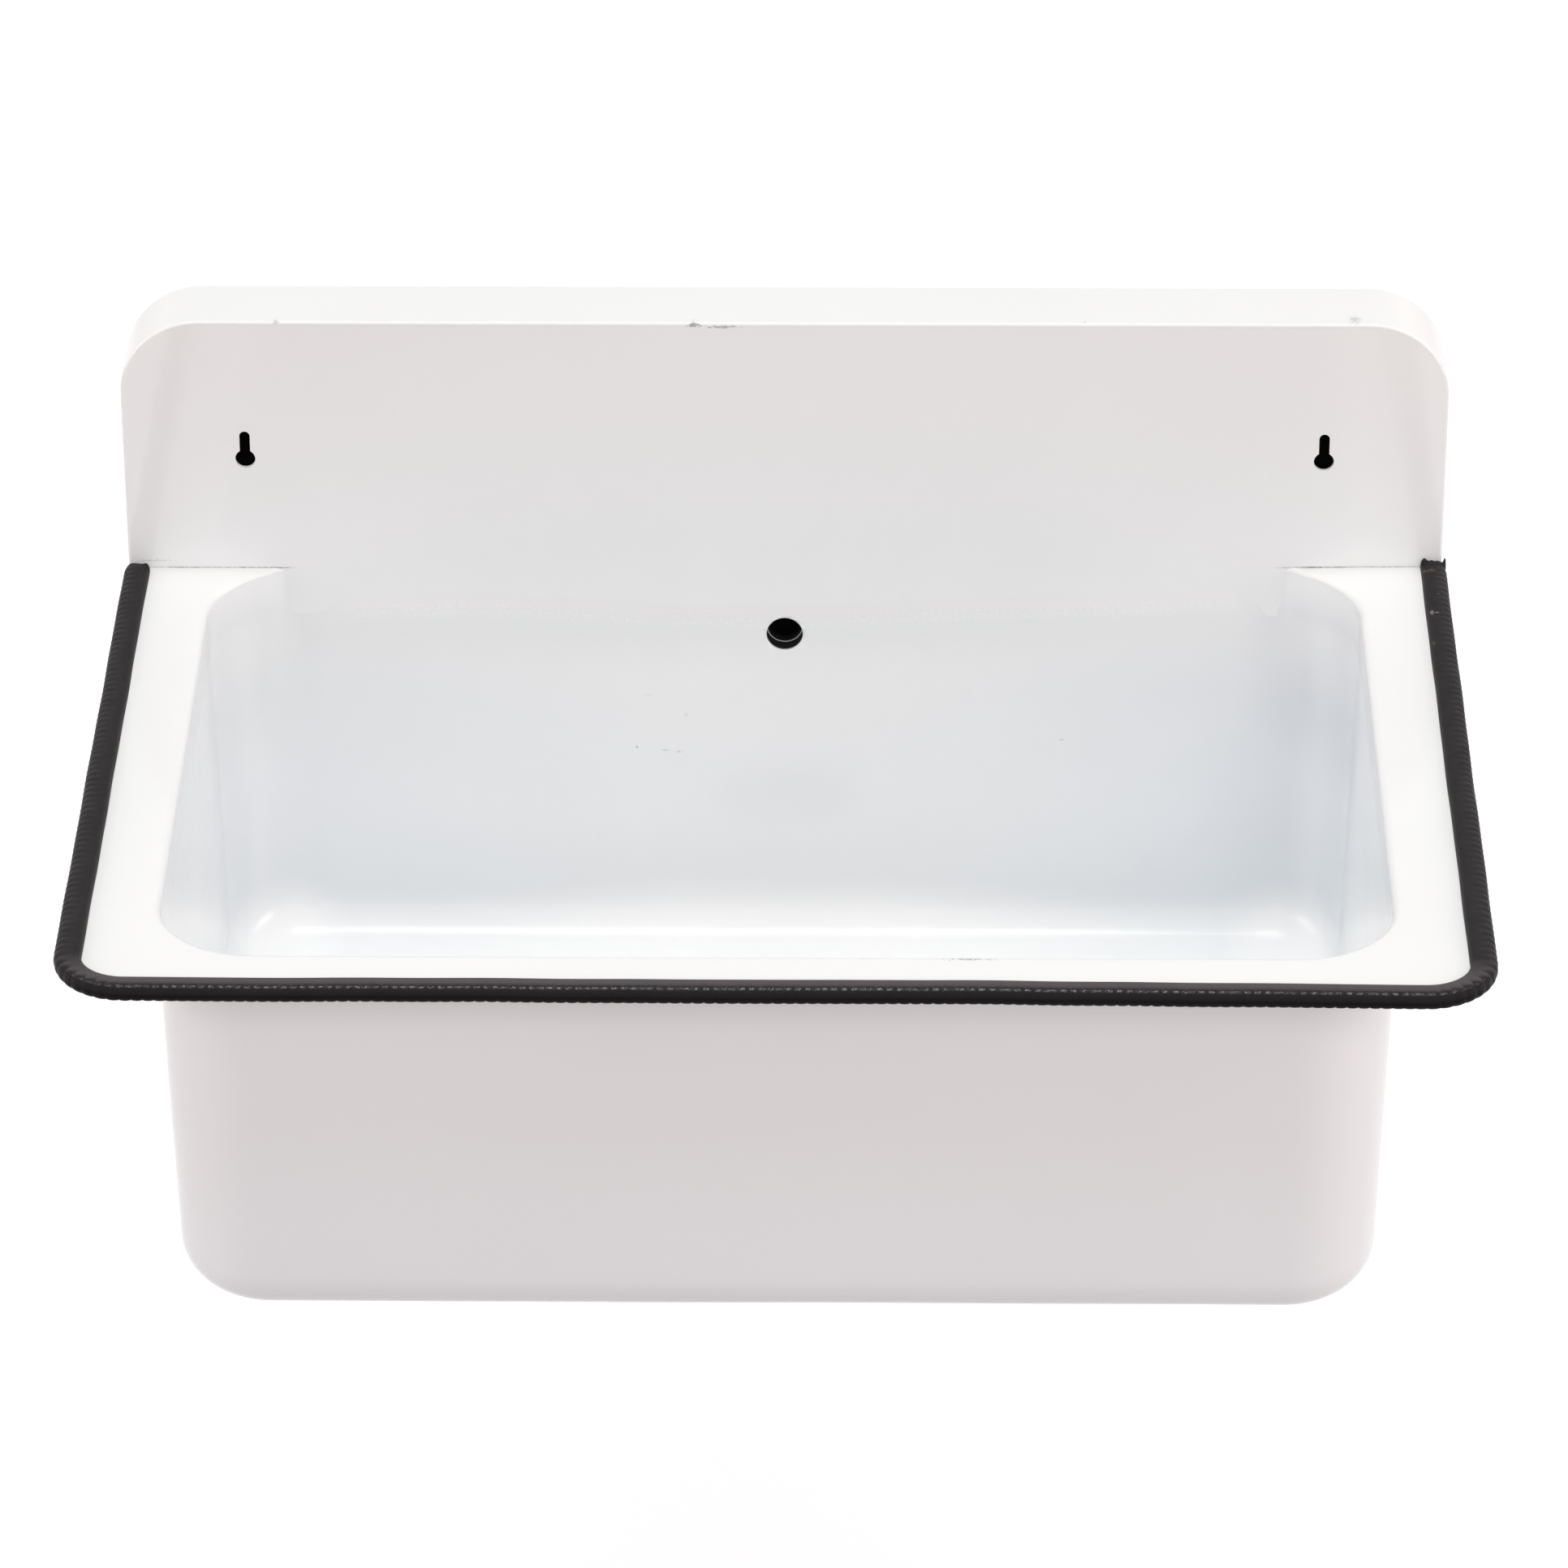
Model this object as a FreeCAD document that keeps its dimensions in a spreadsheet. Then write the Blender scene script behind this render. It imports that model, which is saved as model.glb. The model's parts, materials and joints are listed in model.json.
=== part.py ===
import FreeCAD, Part
import math
import os
import re
import Sketcher

# Wall-mounted enamelled bucket sink, in millimetres.
# X runs to the right, Y back to the wall and Z up. The origin lies midway between the two keyholes,
# on the front face of the backsplash.

SIZES = (
    # Enamelled sheet, backsplash and ledge
    ("sheet", 2.0),
    ("sink_width", 694.0),
    ("panel_height", 145.0),
    ("panel_skirt", 27.0),
    ("panel_corner_radius", 42.0),
    ("panel_edge_radius", 1.4),
    ("return_depth", 42.5),
    ("keyhole_height", 65.0),
    ("keyhole_spacing", 566.0),
    ("keyhole_diameter", 10.5),
    ("keyhole_slot_width", 5.5),
    ("keyhole_slot_length", 16.0),
    ("ledge_depth", 434.5),
    ("ledge_corner_radius", 34.0),
    ("ledge_side_width", 47.5),
    ("ledge_front_width", 39.1),
    # Bowl
    ("opening_corner_radius", 44.6),
    ("lip_radius", 5.0),
    ("bowl_depth", 214.0),
    ("floor_radius", 25.0),
    ("side_draft_angle", 1.6),
    ("back_draft_angle", 2.5),
    ("overflow_drop", 38.7),
    ("overflow_diameter", 19.3),
    ("drain_setback", 185.0),
    ("drain_hole_clearance", 0.9),
    ("dish_slope_width", 6.0),
    ("dish_depth", 3.0),
    ("cut_overrun", 20.0),
    # Rubber edging and the steel strip inside it
    ("trim_width", 13.5),
    ("trim_height", 10.2),
    ("trim_round_radius", 4.4),
    ("trim_overhang", 3.0),
    ("trim_slot_clearance", 0.3),
    ("carrier_thickness", 0.6),
    ("carrier_cover", 0.9),
    ("carrier_leg_setback", 2.2),
    # Waste: flange, strainer, screw and collector
    ("flange_lap", 5.5),
    ("flange_edge_clearance", 0.5),
    ("flange_thickness", 1.6),
    ("flange_seal_thickness", 1.0),
    ("strainer_seat_width", 2.2),
    ("throat_depth", 22.6),
    ("throat_floor_thickness", 2.0),
    ("throat_port_diameter", 14.0),
    ("throat_port_circle", 38.0),
    ("strainer_diameter", 60.4),
    ("strainer_thickness", 1.5),
    ("strainer_clearance", 0.3),
    ("strainer_recess_depth", 3.0),
    ("strainer_hole_diameter", 4.6),
    ("strainer_inner_circle", 22.0),
    ("strainer_middle_circle", 36.0),
    ("strainer_outer_circle", 50.0),
    ("knob_diameter", 12.0),
    ("knob_height", 7.0),
    ("knob_stem_diameter", 5.0),
    ("knob_stem_height", 2.5),
    ("knob_rivet_diameter", 8.0),
    ("knob_rivet_height", 1.2),
    ("screw_diameter", 8.0),
    ("screw_length", 20.0),
    ("screw_head_diameter", 14.0),
    ("screw_head_height", 4.5),
    ("screw_slot_width", 1.6),
    ("screw_slot_depth", 1.8),
    ("screw_clearance", 0.2),
    ("insert_wall", 2.5),
    ("insert_length", 12.0),
    ("body_seal_thickness", 3.0),
    ("body_seal_clearance", 0.5),
    ("body_rim_inset", 4.5),
    ("body_rim_overhang", 2.5),
    ("body_rim_thickness", 3.0),
    ("body_wall", 3.0),
    ("body_depth", 32.0),
    ("body_cone_height", 12.0),
    ("boss_wall", 2.5),
    ("boss_height", 16.0),
    ("web_thickness", 3.0),
    ("web_height", 12.0),
    # Outlet
    ("outlet_thread_margin", 3.9),
    ("outlet_thread_length", 18.0),
    ("tail_diameter", 40.0),
    ("tail_wall", 2.0),
    ("tail_length", 28.0),
    ("tail_flange_thickness", 2.0),
    ("tail_collar_step", 0.5),
    ("tail_collar_reach", 1.0),
    ("tail_washer_thickness", 2.0),
    ("tail_nut_length", 17.0),
    # Overflow
    ("stub_wall", 3.0),
    ("stub_length", 6.0),
    ("stub_seal_thickness", 1.0),
    ("pipe_diameter", 20.0),
    ("pipe_wall", 1.5),
    ("elbow_flange_thickness", 2.0),
    ("elbow_straight", 2.0),
    ("elbow_bend_radius", 12.0),
    ("elbow_socket_drop", 5.0),
    ("socket_wall", 2.3),
    ("socket_length", 20.0),
    ("socket_stop", 4.0),
    ("socket_clearance", 0.2),
    ("inlet_drop", 24.0),
    ("inlet_reach", 28.0),
    ("pipe_bend_radius", 35.0),
    ("pipe_washer_thickness", 3.0),
    ("pipe_nut_length", 15.0),
    ("overflow_nut_length", 10.0),
    # Union nuts
    ("nut_wall", 1.8),
    ("nut_lip_thickness", 2.0),
    ("nut_lug_height", 1.0),
    ("nut_lug_width", 3.0),
    ("thread_clearance", 0.15),
    # How near an edge has to lie to a height or a side to be picked for rounding
    ("pick_tolerance", 0.01),
)

# What comes in numbers
THROAT_PORTS = 6
STRAINER_INNER_HOLES = 6
STRAINER_MIDDLE_HOLES = 12
STRAINER_OUTER_HOLES = 18
BODY_WEBS = 3
TAIL_NUT_LUGS = 12
SMALL_NUT_LUGS = 8

# Heights and places worked out from the sizes above, in the words of the piece that they belong to
DERIVED = {
    "half_width": "sink_width / 2",
    "keyhole_slot_end": "(keyhole_height + keyhole_slot_length - keyhole_slot_width / 2)",
    "opening_half": "(half_width - ledge_side_width)",
    "opening_depth": "(ledge_depth - ledge_front_width)",
    "overflow_radius": "(overflow_diameter / 2)",
    "drain_hole_radius": "(recess_radius + flange_thickness + drain_hole_clearance)",
    "flange_radius": "(drain_hole_radius + flange_lap)",
    "dish_floor_radius": "(flange_radius + flange_edge_clearance)",
    "dish_radius": "(dish_floor_radius + dish_slope_width)",
    "trim_half": "(trim_width / 2)",
    "trim_side": "(half_width + trim_overhang - trim_half)",
    "trim_front": "(ledge_depth + trim_overhang - trim_half)",
    "trim_path_radius": "(ledge_corner_radius + trim_overhang - trim_half)",
    "slot_end": "(trim_half - trim_overhang + trim_slot_clearance)",
    "carrier_web_inner": "(slot_end + carrier_cover)",
    "carrier_web_outer": "(carrier_web_inner + carrier_thickness)",
    "carrier_leg_inner": "(sheet / 2 + carrier_cover)",
    "carrier_leg_outer": "(carrier_leg_inner + carrier_thickness)",
    "carrier_tip": "(carrier_leg_setback - trim_half)",
    "seat": "dish_depth",
    "flange_under": "(seat - flange_seal_thickness)",
    "flange_top": "(flange_under - flange_thickness)",
    "recess_floor": "(flange_top + strainer_recess_depth)",
    "recess_radius": "(strainer_diameter / 2 + strainer_clearance)",
    "throat_radius": "(strainer_diameter / 2 - strainer_seat_width)",
    "throat_floor": "(recess_floor + throat_depth)",
    "throat_under": "(throat_floor + throat_floor_thickness)",
    "dish_under": "(dish_depth + sheet)",
    "body_top": "(dish_under + body_seal_thickness)",
    "body_seal_inner_radius": "(drain_hole_radius + body_seal_clearance)",
    "body_radius": "(body_seal_inner_radius + body_rim_inset)",
    "body_rim_radius": "(body_radius + body_rim_overhang)",
    "body_bottom": "(body_top + body_depth)",
    "cone_bottom": "(body_bottom + body_cone_height)",
    "outlet_radius": "(tail_radius + outlet_thread_margin)",
    "outlet_end": "(cone_bottom + outlet_thread_length)",
    "tail_top": "(outlet_end + tail_washer_thickness)",
    "tail_radius": "(tail_diameter / 2)",
    "tail_flange_under": "(tail_top + tail_flange_thickness)",
    "tail_collar_radius": "(tail_radius + tail_collar_step)",
    "tail_collar_end": "(tail_flange_under + nut_lip_thickness + tail_collar_reach)",
    "insert_radius": "(screw_diameter / 2 + insert_wall)",
    "boss_bottom": "(throat_under + screw_length - throat_floor_thickness + screw_clearance)",
    "boss_top": "(boss_bottom - boss_height)",
    "pipe_radius": "(pipe_diameter / 2)",
    "pipe_bore_radius": "(pipe_radius - pipe_wall)",
    "stub_radius": "(overflow_radius + stub_wall)",
    "stub_end": "(sheet + stub_length)",
    "elbow_face": "(stub_end + stub_seal_thickness)",
    "elbow_flange_back": "(elbow_face + elbow_flange_thickness)",
    "elbow_bend_start": "(elbow_flange_back + elbow_straight)",
    "downpipe_setback": "(elbow_bend_start + elbow_bend_radius)",
    "socket_radius": "(pipe_radius + socket_clearance + socket_wall)",
    "socket_bore_radius": "(pipe_radius + socket_clearance)",
    "elbow_socket_top": "(elbow_bend_radius + elbow_socket_drop)",
    "elbow_socket_end": "(elbow_socket_top + socket_length)",
    "inlet_socket_end": "(body_radius + inlet_reach)",
    "overflow_to_inlet": "(bowl_depth + inlet_drop - overflow_drop)",
}

doc = FreeCAD.newDocument("bucket_sink")
sheet_of_sizes = doc.addObject("Spreadsheet::Sheet", "sizes")
for row, (alias, size) in enumerate(SIZES, start=1):
    sheet_of_sizes.set(f"A{row}", alias)
    sheet_of_sizes.set(f"B{row}", str(size))
    sheet_of_sizes.setAlias(f"B{row}", alias)
doc.recompute()

ALIASES = {alias for alias, size in SIZES}
bodies = []


def formula(text):
    """Write out a phrase of size names as an expression on the sheet's cells."""
    text = str(text)
    while any(word in DERIVED for word in re.findall(r"[a-z_]+", text)):
        text = re.sub(r"[a-z_]+", lambda m: f"({DERIVED.get(m[0], m[0])})", text)
        text = re.sub(r"\((tan|cos|sin)\)", r"\1", text)
    text = re.sub(r"[a-z_]+_angle", lambda m: f"sizes.{m[0]} * 1deg", text)
    return re.sub(r"(?<![\w.])[a-z_]+(?!\w)", lambda m: f"sizes.{m[0]}" if m[0] in ALIASES else m[0], text)


def value(text):
    """Work a phrase of size names out as a plain number."""
    return float(sheet_of_sizes.evalExpression(formula(text)))


def bind(thing, place, text):
    thing.setExpression(place, formula(text))


def new_body(name, x="0", y="0", z="0", turn=None):
    """Start a piece whose own origin lies at x, y, z of the part."""
    body = doc.addObject("PartDesign::Body", name)
    body.Label = name
    if turn:
        body.Placement = FreeCAD.Placement(FreeCAD.Vector(), turn)
    bind(body, "Placement.Base.x", x)
    bind(body, "Placement.Base.y", y)
    bind(body, "Placement.Base.z", z)
    bodies.append(body)
    return body


def new_sketch(body, name, plane, offset=None):
    """Put a sketch on one of the body's origin planes, moved along its normal by offset."""
    sketch = body.newObject("Sketcher::SketchObject", name)
    for feature in body.Origin.OriginFeatures:
        if feature.Role == plane:
            sketch.AttachmentSupport = [(feature, "")]
    sketch.MapMode = "FlatFace"
    if offset:
        bind(sketch, "AttachmentOffset.Base.z", offset)
    return sketch


def fix(sketch, kind, edge, corner, text):
    """Hold one coordinate or radius of a sketch to a phrase of size names."""
    where = (edge,) if corner is None else (edge, corner)
    index = sketch.addConstraint(Sketcher.Constraint(kind, *where, value(text)))
    bind(sketch, f"Constraints[{index}]", text)


def point(x, y):
    return FreeCAD.Vector(value(x), value(y), 0)


def outline(sketch, corners, closed=True):
    """Draw corners (x, y) in order. A corner (x, y, radius, side) starts an arc to the next corner,
    whose centre lies on the left of the way for side 1 and on the right for side -1."""
    count = len(corners)
    first = sketch.GeometryCount
    edges = count if closed else count - 1
    ends = []
    for i in range(edges):
        here = corners[i]
        there = corners[(i + 1) % count]
        start = point(here[0], here[1])
        end = point(there[0], there[1])
        if len(here) == 2:
            sketch.addGeometry(Part.LineSegment(start, end), False)
            ends.append((1, 2))
            continue
        radius = value(here[2])
        side = here[3]
        chord = end - start
        reach = math.sqrt(max(radius ** 2 - (chord.Length / 2) ** 2, 0.0))
        normal = FreeCAD.Vector(-chord.y, chord.x, 0).normalize()
        centre = (start + end) / 2 + normal * reach * side
        round_line = Part.Circle(centre, FreeCAD.Vector(0, 0, 1), radius)
        begin = math.atan2(start.y - centre.y, start.x - centre.x)
        finish = math.atan2(end.y - centre.y, end.x - centre.x)
        if side > 0:
            sketch.addGeometry(Part.ArcOfCircle(round_line, begin, finish), False)
            ends.append((1, 2))
        else:
            sketch.addGeometry(Part.ArcOfCircle(round_line, finish, begin), False)
            ends.append((2, 1))
    for i in range(edges if closed else edges - 1):
        j = (i + 1) % edges
        joined = (first + i, ends[i][1], first + j, ends[j][0])
        sketch.addConstraint(Sketcher.Constraint("Coincident", *joined))
    for i in range(edges):
        fix(sketch, "DistanceX", first + i, ends[i][0], corners[i][0])
        fix(sketch, "DistanceY", first + i, ends[i][0], corners[i][1])
        if len(corners[i]) > 2:
            fix(sketch, "Radius", first + i, None, corners[i][2])
    if not closed:
        fix(sketch, "DistanceX", first + edges - 1, ends[-1][1], corners[-1][0])
        fix(sketch, "DistanceY", first + edges - 1, ends[-1][1], corners[-1][1])


def rounded_rectangle(sketch, left, right, low, high, radius):
    outline(sketch, (
        (f"{left} + {radius}", low),
        (f"{right} - {radius}", low, radius, 1),
        (right, f"{low} + {radius}"),
        (right, f"{high} - {radius}", radius, 1),
        (f"{right} - {radius}", high),
        (f"{left} + {radius}", high, radius, 1),
        (left, f"{high} - {radius}"),
        (left, f"{low} + {radius}", radius, 1),
    ))


def rectangle(sketch, left, right, low, high):
    outline(sketch, ((left, low), (right, low), (right, high), (left, high)))


def circle(sketch, x, y, radius):
    edge = sketch.addGeometry(Part.Circle(point(x, y), FreeCAD.Vector(0, 0, 1), value(radius)), False)
    fix(sketch, "DistanceX", edge, 3, x)
    fix(sketch, "DistanceY", edge, 3, y)
    fix(sketch, "Radius", edge, None, radius)


def pad(body, kind, name, sketch, length, reverse=False, both=False):
    """Pad or Pocket a sketch by a length, and see that it changed the solid."""
    before = body.Shape.Volume if body.Tip else 0.0
    feature = body.newObject(f"PartDesign::{kind}", name)
    feature.Profile = sketch
    bind(feature, "Length", length)
    feature.Reversed = reverse
    if both:
        feature.SideType = "Symmetric"
    sketch.Visibility = False
    doc.recompute()
    if math.isclose(body.Shape.Volume, before):
        raise RuntimeError(f"{body.Label}.{name} changed nothing")
    return feature


def turn_profile(body, kind, name, sketch):
    """Revolution or Groove of a sketch all the way round its own upright axis."""
    before = body.Shape.Volume if body.Tip else 0.0
    feature = body.newObject(f"PartDesign::{kind}", name)
    feature.Profile = sketch
    feature.ReferenceAxis = (sketch, ["V_Axis"])
    feature.Angle = 360
    doc.recompute()
    if math.isclose(body.Shape.Volume, before):
        raise RuntimeError(f"{body.Label}.{name} changed nothing")
    return feature


def along(body, kind, name, section, path):
    """AdditivePipe or SubtractivePipe of a section along a path sketch."""
    feature = body.newObject(f"PartDesign::{kind}", name)
    feature.Profile = section
    feature.Spine = (path, [f"Edge{i + 1}" for i in range(path.GeometryCount)])
    doc.recompute()
    return feature


def loft(body, kind, name, lower, upper):
    feature = body.newObject(f"PartDesign::{kind}", name)
    feature.Profile = lower
    feature.Sections = [upper]
    feature.Ruled = True
    doc.recompute()
    return feature


def edges_where(body, test):
    """Names of the edges whose box passes the test."""
    return [f"Edge{i}" for i, edge in enumerate(body.Tip.Shape.Edges, start=1) if test(edge.BoundBox)]


def fillet(body, name, radius, test):
    base = body.Tip
    names = edges_where(body, test)
    if not names:
        raise RuntimeError(f"{body.Label}.{name} found no edge")
    feature = body.newObject("PartDesign::Fillet", name)
    feature.Base = (base, names)
    bind(feature, "Radius", radius)
    doc.recompute()
    return feature


def polar(body, name, features, axis_sketch, copies):
    feature = body.newObject("PartDesign::PolarPattern", name)
    feature.Originals = features
    feature.Axis = (axis_sketch, ["N_Axis"])
    feature.Angle = 360
    feature.Occurrences = copies
    body.Tip = feature
    doc.recompute()
    return feature


def level(box, z):
    """Whether a box lies flat at height z."""
    return abs(box.ZMin - z) < NEAR and abs(box.ZMax - z) < NEAR


NEAR = value("pick_tolerance")
# Turns a piece so that its depths run back towards the wall
BACKWARDS = FreeCAD.Rotation(FreeCAD.Vector(1, 0, 0), 90)


# The backsplash: a folded pan, open to the wall and at the bottom
def make_backsplash():
    body = new_body("backsplash", z="-keyhole_height")
    face = new_sketch(body, "panel_outline", "XZ_Plane")
    outline(face, (
        ("-half_width", "-panel_skirt"),
        ("half_width", "-panel_skirt"),
        ("half_width", "panel_height - panel_corner_radius", "panel_corner_radius", 1),
        ("half_width - panel_corner_radius", "panel_height"),
        ("panel_corner_radius - half_width", "panel_height", "panel_corner_radius", 1),
        ("-half_width", "panel_height - panel_corner_radius"),
    ))
    pad(body, "Pad", "panel_block", face, "return_depth", reverse=True)
    bottom = value("-panel_skirt")
    fillet(body, "front_edge", "panel_edge_radius",
           lambda box: box.YMax < NEAR and not level(box, bottom))
    hollow = new_sketch(body, "hollow_outline", "XZ_Plane", "-sheet")
    outline(hollow, (
        ("sheet - half_width", "-panel_skirt - cut_overrun"),
        ("half_width - sheet", "-panel_skirt - cut_overrun"),
        ("half_width - sheet", "panel_height - panel_corner_radius", "panel_corner_radius - sheet", 1),
        ("half_width - panel_corner_radius", "panel_height - sheet"),
        ("panel_corner_radius - half_width", "panel_height - sheet", "panel_corner_radius - sheet", 1),
        ("sheet - half_width", "panel_height - panel_corner_radius"),
    ))
    pad(body, "Pocket", "back_hollow", hollow, "return_depth")
    holes = new_sketch(body, "keyhole_rounds", "XZ_Plane")
    circle(holes, "keyhole_spacing / 2", "keyhole_height", "keyhole_diameter / 2")
    circle(holes, "-keyhole_spacing / 2", "keyhole_height", "keyhole_diameter / 2")
    pad(body, "Pocket", "keyhole_round_cut", holes, "cut_overrun", both=True)
    slots = new_sketch(body, "keyhole_slots", "XZ_Plane")
    ends = new_sketch(body, "keyhole_ends", "XZ_Plane")
    for side in ("keyhole_spacing / 2", "-keyhole_spacing / 2"):
        rectangle(slots, f"{side} - keyhole_slot_width / 2", f"{side} + keyhole_slot_width / 2",
                  "keyhole_height", "keyhole_slot_end")
        circle(ends, side, "keyhole_slot_end", "keyhole_slot_width / 2")
    pad(body, "Pocket", "keyhole_slot_cut", slots, "cut_overrun", both=True)
    pad(body, "Pocket", "keyhole_end_cut", ends, "cut_overrun", both=True)


def drafted_tray(body, wall, floor_round):
    """The bowl's form: upright down to the backsplash's lower edge and drafted below it, with a rounded
    floor. wall is the sheet that is added outside the opening's own sizes, 0 for the space inside."""
    left = f"-opening_half - {wall}"
    right = f"opening_half + {wall}"
    front = f"-opening_depth - {wall}"
    radius = f"(opening_corner_radius + {wall})"
    depth = f"(bowl_depth + {wall})"
    fall = f"({depth} - panel_skirt)"
    side = f"({fall} * tan(side_draft_angle))"
    back = f"({fall} * tan(back_draft_angle))"
    collar = new_sketch(body, "collar_outline", "XY_Plane")
    rounded_rectangle(collar, left, right, front, wall, radius)
    pad(body, "Pad", "collar", collar, "panel_skirt", reverse=True)
    top = new_sketch(body, "wall_top", "XY_Plane", "-panel_skirt")
    rounded_rectangle(top, left, right, front, wall, radius)
    bottom = new_sketch(body, "wall_bottom", "XY_Plane", f"-{depth}")
    rounded_rectangle(bottom, f"{left} + {side}", f"{right} - {side}", f"{front} + {side}",
                      f"{wall} - {back}", f"({radius} - {side})")
    loft(body, "AdditiveLoft", "drafted_walls", top, bottom)
    floor = value(f"-{depth}")
    fillet(body, "floor_round", floor_round, lambda box: level(box, floor))


def dish_profile(body, name, top, bottom, grow):
    """The section of the dished seat round the drain, turned about the drain's axis."""
    dish = new_sketch(body, name, "XZ_Plane", "drain_setback")
    outline(dish, (
        ("0", top),
        ("0", bottom),
        (f"dish_floor_radius + {grow}", bottom),
        (f"dish_radius + {grow}", f"{bottom} + dish_depth"),
        (f"dish_radius + {grow}", top),
    ))
    return dish


# The space inside the bowl, which is cut from it
def make_basin_space():
    body = doc.addObject("PartDesign::Body", "basin_space")
    drafted_tray(body, "0", "floor_radius")
    dish = dish_profile(body, "dish_section", "sheet - bowl_depth", "-bowl_depth - dish_depth", "0")
    turn_profile(body, "Revolution", "dish", dish)
    return body


# The bowl: a ledge on three sides, drafted walls, and a dished seat round the drain
def make_bowl():
    space = make_basin_space()
    body = new_body("bowl", z="-keyhole_height")
    ledge = new_sketch(body, "ledge_outline", "XY_Plane")
    outline(ledge, (
        ("ledge_corner_radius - half_width", "-ledge_depth"),
        ("half_width - ledge_corner_radius", "-ledge_depth", "ledge_corner_radius", 1),
        ("half_width", "ledge_corner_radius - ledge_depth"),
        ("half_width", "cut_overrun"),
        ("-half_width", "cut_overrun"),
        ("-half_width", "ledge_corner_radius - ledge_depth", "ledge_corner_radius", 1),
    ))
    pad(body, "Pad", "ledge", ledge, "sheet", reverse=True)
    drafted_tray(body, "sheet", "floor_radius + sheet")
    ledge_under = value("-sheet")
    reach = value("opening_half + sheet")
    fillet(body, "under_lip_round", "lip_radius - sheet",
           lambda box: level(box, ledge_under) and box.XMax < reach + NEAR and box.XMin > -reach - NEAR
           and box.YMax < value("sheet") + NEAR and box.YMin > value("-opening_depth - sheet") - NEAR)
    dish = dish_profile(body, "dish_section", "-bowl_depth - sheet / 2", "-bowl_depth - dish_under",
                        "sheet")
    turn_profile(body, "Revolution", "dish", dish)
    hollow = body.newObject("PartDesign::Boolean", "basin")
    hollow.Type = "Cut"
    hollow.setObjects([space])
    doc.recompute()
    half = value("opening_half")
    fillet(body, "lip_round", "lip_radius",
           lambda box: level(box, 0) and box.XMax < half + NEAR and box.XMin > -half - NEAR
           and box.YMax < NEAR and box.YMin > value("-opening_depth") - NEAR)
    drain = new_sketch(body, "drain_hole", "XY_Plane", "-bowl_depth")
    circle(drain, "0", "-drain_setback", "drain_hole_radius")
    pad(body, "Pocket", "drain_cut", drain, "cut_overrun", both=True)
    overflow = new_sketch(body, "overflow_hole", "XZ_Plane")
    circle(overflow, "0", "-overflow_drop", "overflow_radius")
    pad(body, "Pocket", "overflow_cut", overflow, "cut_overrun", both=True)
    back = new_sketch(body, "backsplash_place", "XZ_Plane")
    rectangle(back, "-half_width - cut_overrun", "half_width + cut_overrun", "-panel_skirt", "cut_overrun")
    pad(body, "Pocket", "backsplash_cut", back, "cut_overrun + cut_overrun")


def trim_path(body, name):
    """The middle line of the edging, round three sides of the ledge."""
    path = new_sketch(body, name, "XY_Plane")
    outline(path, (
        ("-trim_side", "0"),
        ("-trim_side", "trim_path_radius - trim_front", "trim_path_radius", 1),
        ("trim_path_radius - trim_side", "-trim_front"),
        ("trim_side - trim_path_radius", "-trim_front", "trim_path_radius", 1),
        ("trim_side", "trim_path_radius - trim_front"),
        ("trim_side", "0"),
    ), closed=False)
    return path


def carrier_section(body, name):
    """The U of the steel strip, open towards the bowl."""
    section = new_sketch(body, name, "XZ_Plane")
    outline(section, (
        ("-trim_side - carrier_tip", "carrier_leg_inner"),
        ("-trim_side - carrier_tip", "carrier_leg_outer"),
        ("-trim_side - carrier_web_outer", "carrier_leg_outer"),
        ("-trim_side - carrier_web_outer", "-carrier_leg_outer"),
        ("-trim_side - carrier_tip", "-carrier_leg_outer"),
        ("-trim_side - carrier_tip", "-carrier_leg_inner"),
        ("-trim_side - carrier_web_inner", "-carrier_leg_inner"),
        ("-trim_side - carrier_web_inner", "carrier_leg_inner"),
    ))
    return section


# The rubber edging, and the steel strip moulded into it
def make_edging():
    body = new_body("edge_trim", z="-keyhole_height - sheet / 2")
    path = trim_path(body, "edging_path")
    section = new_sketch(body, "edging_section", "XZ_Plane")
    rounded_rectangle(section, "-trim_side - trim_half", "-trim_side + trim_half",
                      "-trim_height / 2", "trim_height / 2", "trim_round_radius")
    along(body, "AdditivePipe", "rubber", section, path)
    slot = new_sketch(body, "ledge_slot", "XZ_Plane")
    rectangle(slot, "-trim_side - slot_end", "-trim_side + trim_half + sheet", "-sheet / 2", "sheet / 2")
    along(body, "SubtractivePipe", "slot", slot, path)
    along(body, "SubtractivePipe", "strip_space", carrier_section(body, "strip_space_section"), path)
    body = new_body("trim_carrier", z="-keyhole_height - sheet / 2")
    path = trim_path(body, "strip_path")
    along(body, "AdditivePipe", "strip", carrier_section(body, "strip_section"), path)


def turned(name, corners, **place):
    """A turned piece. Corners are (radius, depth), with depths measured down from its own origin."""
    body = new_body(name, **place)
    profile = new_sketch(body, "profile", "XZ_Plane")
    outline(profile, [(radius, f"-({depth})") for radius, depth in corners])
    turn_profile(body, "Revolution", "turned", profile)
    return body


def ring(name, inner, outer, top, bottom, **place):
    return turned(name, ((inner, top), (outer, top), (outer, bottom), (inner, bottom)), **place)


DRAIN = {"y": "-drain_setback", "z": "-keyhole_height - bowl_depth"}
OVERFLOW = {"z": "-keyhole_height - overflow_drop", "turn": BACKWARDS}


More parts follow.
